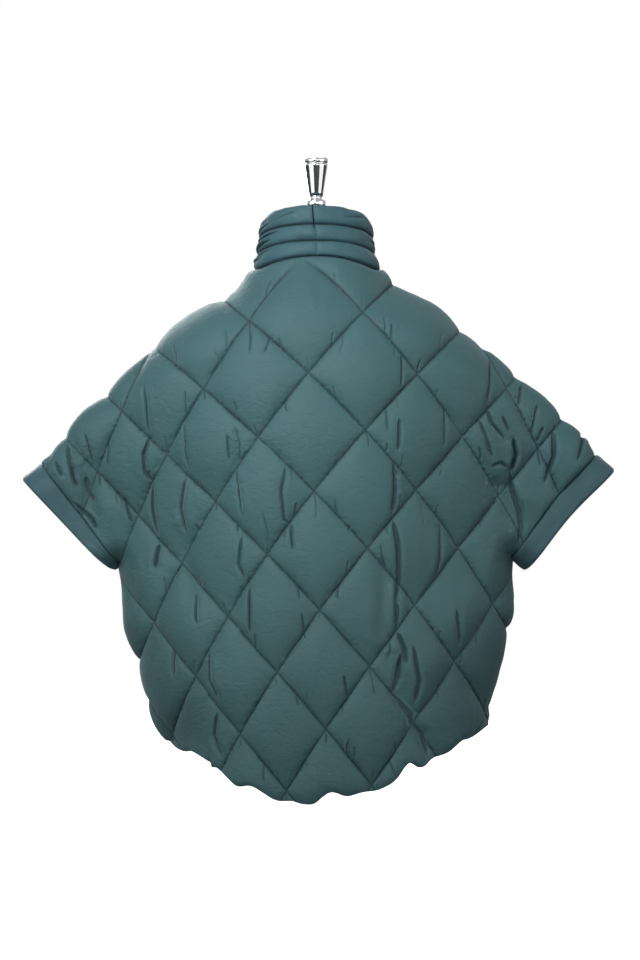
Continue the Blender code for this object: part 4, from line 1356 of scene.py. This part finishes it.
def addNode(tree, kind, inputs=None, **settings):
    made = tree.nodes.new("ShaderNode" + kind)
    for key, value in settings.items():
        setattr(made, key, value)
    for key, value in (inputs or {}).items():
        giveInput(made, key, value)
    return made


def calc(operation, *values, clamp=False):
    # a Math node in the tree that its linked values come from
    tree = next(value.id_data for value in values if isinstance(value, bpy.types.NodeSocket))
    return addNode(tree, "Math", dict(enumerate(values)), operation=operation, use_clamp=clamp).outputs[0]


def plus(a, b, clamp=False):
    return calc("ADD", a, b, clamp=clamp)


def minus(a, b, clamp=False):
    return calc("SUBTRACT", a, b, clamp=clamp)


def times(a, b, clamp=False):
    return calc("MULTIPLY", a, b, clamp=clamp)


def over(a, b):
    return calc("DIVIDE", a, b)


def noiseOf(place, scale, **inputs):
    return addNode(place.id_data, "TexNoise", {"Vector": place, "Scale": scale, **inputs}).outputs["Fac"]


def mapped(place, **inputs):
    return addNode(place.id_data, "Mapping", {"Vector": place, **inputs}).outputs[0]


def blendColours(share, a, b):
    # two colours, each plain or another node's output
    first, second = [(*value, 1) if isinstance(value, tuple) else value for value in (a, b)]
    return addNode(share.id_data, "Mix", {0: share, 6: first, 7: second}, data_type="RGBA").outputs[2]


def bumpOf(height, relief, under=None):
    # the normal that a height gives, on top of another if one is given
    made = addNode(height.id_data, "Bump", {"Height": height, "Strength": relief[0], "Distance": relief[1]})
    if under is not None:
        giveInput(made, "Normal", under)
    return made.outputs[0]


def newGroup(name, inputs):
    # a node group with its inputs, each a number unless it has no value; those take a place
    tree = bpy.data.node_groups.new(name, "ShaderNodeTree")
    for key, value in inputs.items():
        kind = "NodeSocketVector" if value is None else "NodeSocketFloat"
        socket = tree.interface.new_socket(name=key, in_out="INPUT", socket_type=kind)
        if value is not None:
            socket.default_value = value
    return tree, tree.nodes.new("NodeGroupInput").outputs


def finishGroup(tree, **outputs):
    for key in outputs:
        tree.interface.new_socket(name=key, in_out="OUTPUT", socket_type="NodeSocketFloat")
    result = tree.nodes.new("NodeGroupOutput")
    for key, value in outputs.items():
        giveInput(result, key, value)
    return tree


def useGroup(tree, group, inputs):
    return addNode(tree, "Group", inputs, node_tree=group).outputs


def stitchGroup():
    # sewn lines at whole numbers of a piece's own coordinates: painted shade beside each line, thread, height
    tree, given = newGroup("sewnLines", {"Place": None, "Pitch U": 121.0, "Pitch V": 121.0, "Across U": 1.0,
                                         "Across V": 1.0, "Groove": 5.0, "Stitch": 3.4})
    split = addNode(tree, "SeparateXYZ", {0: given["Place"]}).outputs
    shades, threads, gathers = [], [], []
    for near, far, here, other in ((0, 1, "U", "V"), (1, 0, "V", "U")):
        use = given["Across " + here]
        off = times(calc("ABSOLUTE", calc("WRAP", split[near], 0.5, -0.5)), given["Pitch " + here])
        run = over(times(split[far], given["Pitch " + other]), given["Stitch"])
        dash = times(minus(calc("PINGPONG", run, 0.5), 0.1), 9.0, clamp=True)
        line = minus(1.0, over(off, 0.55), clamp=True)
        threads.append(times(times(calc("POWER", line, 0.5), dash), use))
        where = addNode(tree, "CombineXYZ", {0: times(run, 1.15), 1: times(off, 0.12), 2: 7.7 * near + 2.3})
        tick = noiseOf(where.outputs[0], 1.0, Detail=1.5)
        # painted shade beside the sewn line, uneven along it
        shade = times(calc("POWER", minus(1.0, over(off, given["Groove"]), clamp=True), 2.2), use)
        shades.append(times(shade, plus(times(tick, 1.3), 0.35), clamp=True))
        # the cloth is gathered a little beside the thread
        gathers.append(times(minus(tick, 0.5), times(calc("EXPONENT", over(off, -4.5)), use)))
    shade, thread = calc("MAXIMUM", *shades), calc("MAXIMUM", *threads)
    height = plus(minus(times(thread, 0.35), times(shade, 0.9)), times(plus(*gathers), 2.0))
    return finishGroup(tree, Shade=shade, Thread=thread, Height=height)


def creaseGroup():
    # a crisp fold line from the distance to it in millimetres: painted shade in its valley and a painted
    # highlight beside it, with their height
    tree, given = newGroup("foldLine", {"Off": 7.0, "Deep": 0.0})
    off, deep = given["Off"], given["Deep"]
    reach = plus(times(deep, 1.05), 0.5)
    valley = calc("EXPONENT", times(calc("POWER", over(calc("ABSOLUTE", off), reach), 1.5), -1.0))
    shade = times(valley, deep, clamp=True)
    beside = over(minus(off, times(reach, 2.2)), reach)
    light = times(calc("EXPONENT", times(times(beside, beside), -1.0)), deep, clamp=True)
    return finishGroup(tree, Shade=shade, Light=light, Height=minus(times(light, 0.5), shade))


def weaveGroup():
    # a plain weave of two thread systems, with threads of slightly different thickness
    tree, given = newGroup("plainWeave", {"Place": None, "Threads": 250.0, "Slubs": 0.2})
    scaled = addNode(tree, "VectorMath", {0: given["Place"], 3: given["Threads"]}, operation="SCALE")
    place = scaled.outputs[0]
    split = addNode(tree, "SeparateXYZ", {0: place}).outputs
    u, v = [calc("SINE", times(split[k], math.pi)) for k in (0, 1)]
    crossing = times(times(u, v), 0.5)
    slub = noiseOf(mapped(place, Scale=(0.02, 0.6, 0.2)), 1.0, Detail=2.0)
    slubs = times(minus(slub, 0.5), given["Slubs"])
    return finishGroup(tree, Height=plus(crossing, slubs), Tint=plus(crossing, times(slubs, 2.0)))


def crinkleGroup():
    # the soft crinkle of light cloth over filling, drawn out along the way it hangs
    tree, given = newGroup("clothCrinkle", {"Place": None, "Crinkle": 1.0})
    place = given["Place"]
    big = noiseOf(mapped(place, Scale=(48.0, 48.0, 88.0)), 1.0, Detail=3.0, Roughness=0.5, Distortion=0.6)
    small = noiseOf(mapped(place, Scale=(300.0, 300.0, 150.0)), 1.0, Detail=2.0, Distortion=0.3)
    height = plus(times(calc("ABSOLUTE", minus(big, 0.5)), -2.0), times(small, 0.35))
    return finishGroup(tree, Height=times(height, given["Crinkle"]), Tone=noiseOf(place, 7.0, Detail=3.0))


def brushGroup():
    # fine marks of handling and polishing on metal and paint
    tree, given = newGroup("handlingMarks", {"Place": None, "Scale": 60.0})
    marks = noiseOf(mapped(given["Place"], Scale=(1.0, 1.0, 14.0)), given["Scale"], Detail=5.0)
    smudge = noiseOf(given["Place"], 26.0, Detail=2.0)
    return finishGroup(tree, Marks=times(marks, smudge), Height=marks)


# What every material's shader starts from.
shaderDefaults = {"Metallic": 0.0, "Specular IOR Level": 0.5, "Sheen Weight": 0.0, "Sheen Roughness": 0.45,
                  "Sheen Tint": (1, 1, 1, 1), "Coat Weight": 0.0, "Coat Roughness": 0.12}


def newMaterial(name, inputs):
    made = bpy.data.materials.new(name)
    made.use_nodes = True
    shader = made.node_tree.nodes["Principled BSDF"]
    for key, value in {**shaderDefaults, **inputs}.items():
        giveInput(shader, key, value)
    return made, made.node_tree, shader


# The cape's cloth; a relief is the strength of its bump and its height in metres.
clothLook = {
    # the groove colour is painted shade along the sewn lines and in the crease valleys, shade and valley are
    # the strengths of those two painted shades, and the ridge colour is a painted highlight beside each
    # crease
    "shell": {"dark": (0.049, 0.125, 0.138), "light": (0.061, 0.151, 0.166),
              "groove": (0.014, 0.033, 0.038), "ridge": (0.078, 0.180, 0.195),
              "thread": (0.030, 0.066, 0.072), "roughness": 0.6, "across": (1.0, 1.0),
              "pitch": (121.0, 121.0), "grooveWide": 4.2, "crinkle": 1.6, "shade": 0.9, "valley": 0.72},
    "trim": {"dark": (0.047, 0.120, 0.141), "light": (0.058, 0.149, 0.180),
             "groove": (0.013, 0.031, 0.041), "ridge": (0.082, 0.192, 0.224),
             "thread": (0.028, 0.062, 0.076), "roughness": 0.56, "across": (0.0, 1.0),
             "pitch": (121.0, 27.0), "grooveWide": 3.2, "crinkle": 0.8, "shade": 0.7, "valley": 0.8},
    "threads": 260.0,
    "slubs": 0.25,
    "relief": {"crinkle": (0.45, 0.0014), "weave": (0.18, 0.0002), "stitches": (0.6, 0.0011),
               "folds": (0.8, 0.0016)},
}
# the cuff bands are the collar's cloth in darker colours: painted shade for the low cuffs
clothLook["band"] = {**clothLook["trim"], "dark": (0.042, 0.106, 0.126), "light": (0.050, 0.127, 0.150),
                     "roughness": 0.58, "across": (0.0, 0.0), "pitch": (121.0, 121.0), "shade": 0.0,
                     "valley": 0.0}


def clothMaterial(name, kind, groups):
    look, relief = clothLook[kind], clothLook["relief"]
    made, tree, shader = newMaterial(name, {"Roughness": look["roughness"], "Sheen Weight": 0.2,
                                            "Sheen Tint": (0.62, 0.86, 0.92, 1), "Specular IOR Level": 0.3})
    place = addNode(tree, "TexCoord").outputs["Object"]
    own = addNode(tree, "UVMap", uv_map="quilt").outputs[0]
    off, deep, unsewn = [addNode(tree, "Attribute", attribute_name=attribute).outputs["Fac"]
                         for attribute in ("creaseOff", "creaseDeep", "unsewn")]
    sewn = useGroup(tree, groups["stitch"], {
        "Place": own, "Pitch U": look["pitch"][0], "Pitch V": look["pitch"][1], "Across U": look["across"][0],
        "Across V": look["across"][1], "Groove": look["grooveWide"]})
    weave = useGroup(tree, groups["weave"], {"Place": own, "Threads": clothLook["threads"],
                                             "Slubs": clothLook["slubs"]})
    crinkle = useGroup(tree, groups["crinkle"], {"Place": place, "Crinkle": look["crinkle"]})
    crease = useGroup(tree, groups["crease"], {"Off": off, "Deep": deep})
    stitched = minus(1.0, unsewn)
    tone = plus(crinkle["Tone"], times(weave["Tint"], 0.16), clamp=True)
    # painted shade: darker along the sewn lines and in the crease valleys
    shade = times(times(sewn["Shade"], stitched), look["shade"])
    shade = calc("MAXIMUM", shade, times(crease["Shade"], look["valley"]))
    colour = blendColours(tone, look["dark"], look["light"])
    # painted highlight on the cloth beside each crease
    colour = blendColours(times(crease["Light"], 0.5), colour, look["ridge"])
    colour = blendColours(shade, colour, look["groove"])
    colour = blendColours(times(sewn["Thread"], stitched), colour, look["thread"])
    giveInput(shader, "Base Color", colour)
    giveInput(shader, "Roughness", plus(times(crinkle["Tone"], 0.12), look["roughness"] - 0.06))
    normal = bumpOf(crinkle["Height"], relief["crinkle"])
    normal = bumpOf(weave["Height"], relief["weave"], normal)
    normal = bumpOf(times(sewn["Height"], stitched), relief["stitches"], normal)
    giveInput(shader, "Normal", bumpOf(crease["Height"], relief["folds"], normal))
    return made


# The other finishes: woven ones have threads, hard ones have marks of handling.
finishes = {
    "zipTapeCloth": {"shader": {"Roughness": 0.8, "Sheen Weight": 0.3}, "threads": 1500.0, "slubs": 0.2,
                     "tint": 0.5, "colours": ((0.014, 0.032, 0.038), (0.030, 0.062, 0.070)),
                     "relief": (0.5, 0.0003)},
    "naturalLinen": {"shader": {"Roughness": 0.88, "Sheen Weight": 0.3, "Sheen Tint": (0.95, 0.92, 0.86, 1)},
                     "threads": 1400.0, "slubs": 0.9, "tint": 0.35, "crinkle": 0.3,
                     "colours": ((0.56, 0.51, 0.43), (0.76, 0.72, 0.63)), "relief": (0.5, 0.0005)},
    "zipTeethPlastic": {"shader": {"Roughness": 0.38}, "marks": 400.0, "rough": (0.4, 0.26),
                        "colours": ((0.024, 0.050, 0.058), (0.048, 0.088, 0.098))},
    "polishedChrome": {"shader": {"Roughness": 0.08, "Metallic": 1.0}, "marks": 140.0,
                       "rough": (0.22, 0.03),
                       "colours": ((0.80, 0.81, 0.82), (0.62, 0.63, 0.65)), "relief": (0.05, 0.0002)},
    "whitePowderCoat": {"shader": {"Roughness": 0.42, "Coat Weight": 0.15}, "marks": 80.0,
                        "rough": (0.3, 0.34), "peel": 900.0,
                        "colours": ((0.88, 0.88, 0.87), (0.80, 0.80, 0.79)), "relief": (0.2, 0.0003)},
}


def finishMaterial(name, groups):
    look = finishes[name]
    made, tree, shader = newMaterial(name, look["shader"])
    place = addNode(tree, "TexCoord").outputs["Object"]
    if "threads" in look:
        turned = mapped(place, Rotation=(math.radians(90), 0, 0))
        weave = useGroup(tree, groups["weave"], {"Place": turned, "Threads": look["threads"],
                                                 "Slubs": look["slubs"]})
        wide = 0.5
        if "crinkle" in look:
            wide = useGroup(tree, groups["crinkle"], {"Place": place, "Crinkle": look["crinkle"]})["Tone"]
        tone, height = plus(times(weave["Tint"], look["tint"]), wide, clamp=True), weave["Height"]
    else:
        marks = useGroup(tree, groups["marks"], {"Place": place, "Scale": look["marks"]})
        tone, height = marks["Marks"], marks["Height"]
        giveInput(shader, "Roughness", plus(times(tone, look["rough"][0]), look["rough"][1]))
    if "peel" in look:
        height = noiseOf(place, look["peel"], Detail=2.0)
    giveInput(shader, "Base Color", blendColours(tone, *look["colours"]))
    if "relief" in look:
        giveInput(shader, "Normal", bumpOf(height, look["relief"]))
    return made


# Studio: floor, backdrop, light and camera.

# The lights: where each stands, what it faces, its size and its power. Those with a cone are
# spots, the others are cards of light.
underHem = {"aim": (0, 0, -2.114), "cone": 80, "blend": 0.0, "size": (0.01,), "power": 240}
lamps = {
    "key": {"place": (1.1, 2.1, 2.7), "aim": (0, 0, 0.6), "size": (1.2, 1.2), "power": 38},
    "pool": {"place": (0.9, 3.2, 2.2), "aim": (0.06, 0.15, 0.72), "cone": 20, "blend": 0.85,
             "size": (0.35,), "power": 222},
    "fill": {"place": (-1.5, 3.6, 1.6), "aim": (0, 0, 0.5), "size": (2.4, 2.4), "power": 11},
    "front": {"place": (0.8, -3.0, 1.5), "aim": (0, 0, 0.45), "size": (1.8, 1.8), "power": 95},
    # three upright cards that show in the chrome
    "leftCard": {"place": (1.6, 1.3, 1.1), "aim": (0, 0, 0.95), "size": (2.0, 1.5), "power": 12},
    "rightCard": {"place": (-1.7, 0.9, 1.1), "aim": (0, 0, 0.95), "size": (1.7, 1.5), "power": 9},
    "midCard": {"place": (-0.7, 3.2, 1.1), "aim": (0, 0, 0.95), "size": (0.7, 1.5), "power": 3.5},
    # the lights that keep the foot white: three low and aimed under the hem, one inside the cape
    "rim": {"place": (0, 2.4, 0.14), **underHem},
    "rimLeft": {"place": (2.0, 1.33, 0.14), **underHem},
    "rimRight": {"place": (-2.0, 1.33, 0.14), **underHem},
    "foot": {"place": (0, 0, 0.125), "aim": (0, 0, 0), "size": (0.26, 0.26), "power": 0.7},
}
studio = {
    "camera": (-0.006, 6.5, 0.495),
    "lens": 162.5,
    "skyLight": 0.2,
    "skyMirrored": 0.5,      # how bright the surroundings are in reflections
    "floorBounce": 0.12,     # how pale the floor is to the light that falls back on the cape
    "floorHalf": 14,
    "floorGlow": 0.8,        # the floor's own light, for the camera alone
}


def makeFloor():
    bm = bmesh.new()
    bmesh.ops.create_grid(bm, x_segments=8, y_segments=8, size=studio["floorHalf"])
    mesh = bpy.data.meshes.new("floor")
    bm.to_mesh(mesh)
    bm.free()
    paper, tree, shader = newMaterial("palePaper", {"Roughness": 0.9, "Emission Color": (1, 1, 1, 1)})
    place = addNode(tree, "TexCoord").outputs["Object"]
    seen = addNode(tree, "LightPath").outputs["Is Camera Ray"]
    white = blendColours(noiseOf(place, 3.0), (0.92, 0.92, 0.92), (0.94, 0.94, 0.94))
    giveInput(shader, "Base Color", blendColours(seen, (studio["floorBounce"],) * 3, white))
    giveInput(shader, "Emission Strength", times(seen, studio["floorGlow"]))
    mesh.materials.append(paper)
    floor = addObject("floor", mesh)


def makeLamp(name, given):
    light = bpy.data.lights.new(name, "SPOT" if "cone" in given else "AREA")
    if "cone" in given:
        light.spot_size, light.spot_blend = math.radians(given["cone"]), given["blend"]
        light.shadow_soft_size = given["size"][0]
    else:
        light.shape = "RECTANGLE"
        light.size, light.size_y = given["size"]
    light.energy = given["power"]
    lamp = addObject(name, light)
    lamp.location = given["place"]
    lamp.visible_diffuse = "Card" not in name
    lamp.rotation_euler = (Vector(given["aim"]) - lamp.location).to_track_quat("-Z", "Y").to_euler()


def makeSky():
    # white to the camera, dimmer as light and in reflections
    world = bpy.data.worlds.new("studioWhite")
    bpy.context.scene.world = world
    world.use_nodes = True
    sky = world.node_tree.nodes["Background"]
    path = addNode(world.node_tree, "LightPath").outputs
    strength = times(path["Is Glossy Ray"], studio["skyMirrored"] - studio["skyLight"])
    strength = calc("MAXIMUM", path["Is Camera Ray"], plus(strength, studio["skyLight"]))
    giveInput(sky, "Strength", strength)
    giveInput(sky, "Color", (1, 1, 1, 1))


def makeStudio():
    makeFloor()
    for name, given in lamps.items():
        makeLamp(name, given)
    makeSky()
    lens = bpy.data.cameras.new("photograph")
    lens.lens, lens.sensor_width = studio["lens"], 36
    camera = addObject("photograph", lens)
    camera.location = studio["camera"]
    camera.rotation_euler = (math.radians(90), 0, math.radians(180))
    bpy.context.scene.camera = camera
    bpy.context.scene.view_settings.view_transform = "Standard"


makeStudio()
print("studio ready")
groups = {"stitch": stitchGroup(), "crease": creaseGroup(), "weave": weaveGroup(),
          "crinkle": crinkleGroup(), "marks": brushGroup()}
shellCloth = clothMaterial("quiltedNylon", "shell", groups)
collarCloth = clothMaterial("collarNylon", "trim", groups)
bandCloth = clothMaterial("cuffNylon", "band", groups)
chrome = finishMaterial("polishedChrome", groups)
whitePaint = finishMaterial("whitePowderCoat", groups)

panels = {"back": makePanel("quiltedBack", "back", panelMesh["backColumns"], "back", shellCloth)}
print("back made")
for hand in ("left", "right"):
    panels[hand] = makePanel("quiltedFront" + hand.capitalize(), hand, panelMesh["frontColumns"],
                             "front_" + hand, shellCloth)
print("fronts made")
ring = neckRing(panels)
collarEdge = makeCollar("collarLeft", "left", ring, collarCloth)
makeCollar("collarRight", "right", ring, collarCloth)
for hand in ("left", "right"):
    makeCuff("cuff" + hand.capitalize(), hand, panels, bandCloth)
print("collar and cuffs made")
zipPath, zipLengths = zipLine(panels["left"][0], collarEdge)
makeZip(zipPath, zipLengths, finishMaterial("zipTapeCloth", groups),
        finishMaterial("zipTeethPlastic", groups))
makeSlider(zipPath, zipLengths, chrome)
print("zip made")
makeTorso(finishMaterial("naturalLinen", groups))
makeTurned("formCap", formShape["cap"], chrome, "form_cap")
makeTurned("formFinial", formShape["finial"], chrome, "form_finial")
makeTurned("formPole", formShape["pole"], whitePaint, "form_pole")
makeTurned("formBase", formShape["base"], whitePaint, "form_base", 96)
print("dress form made")
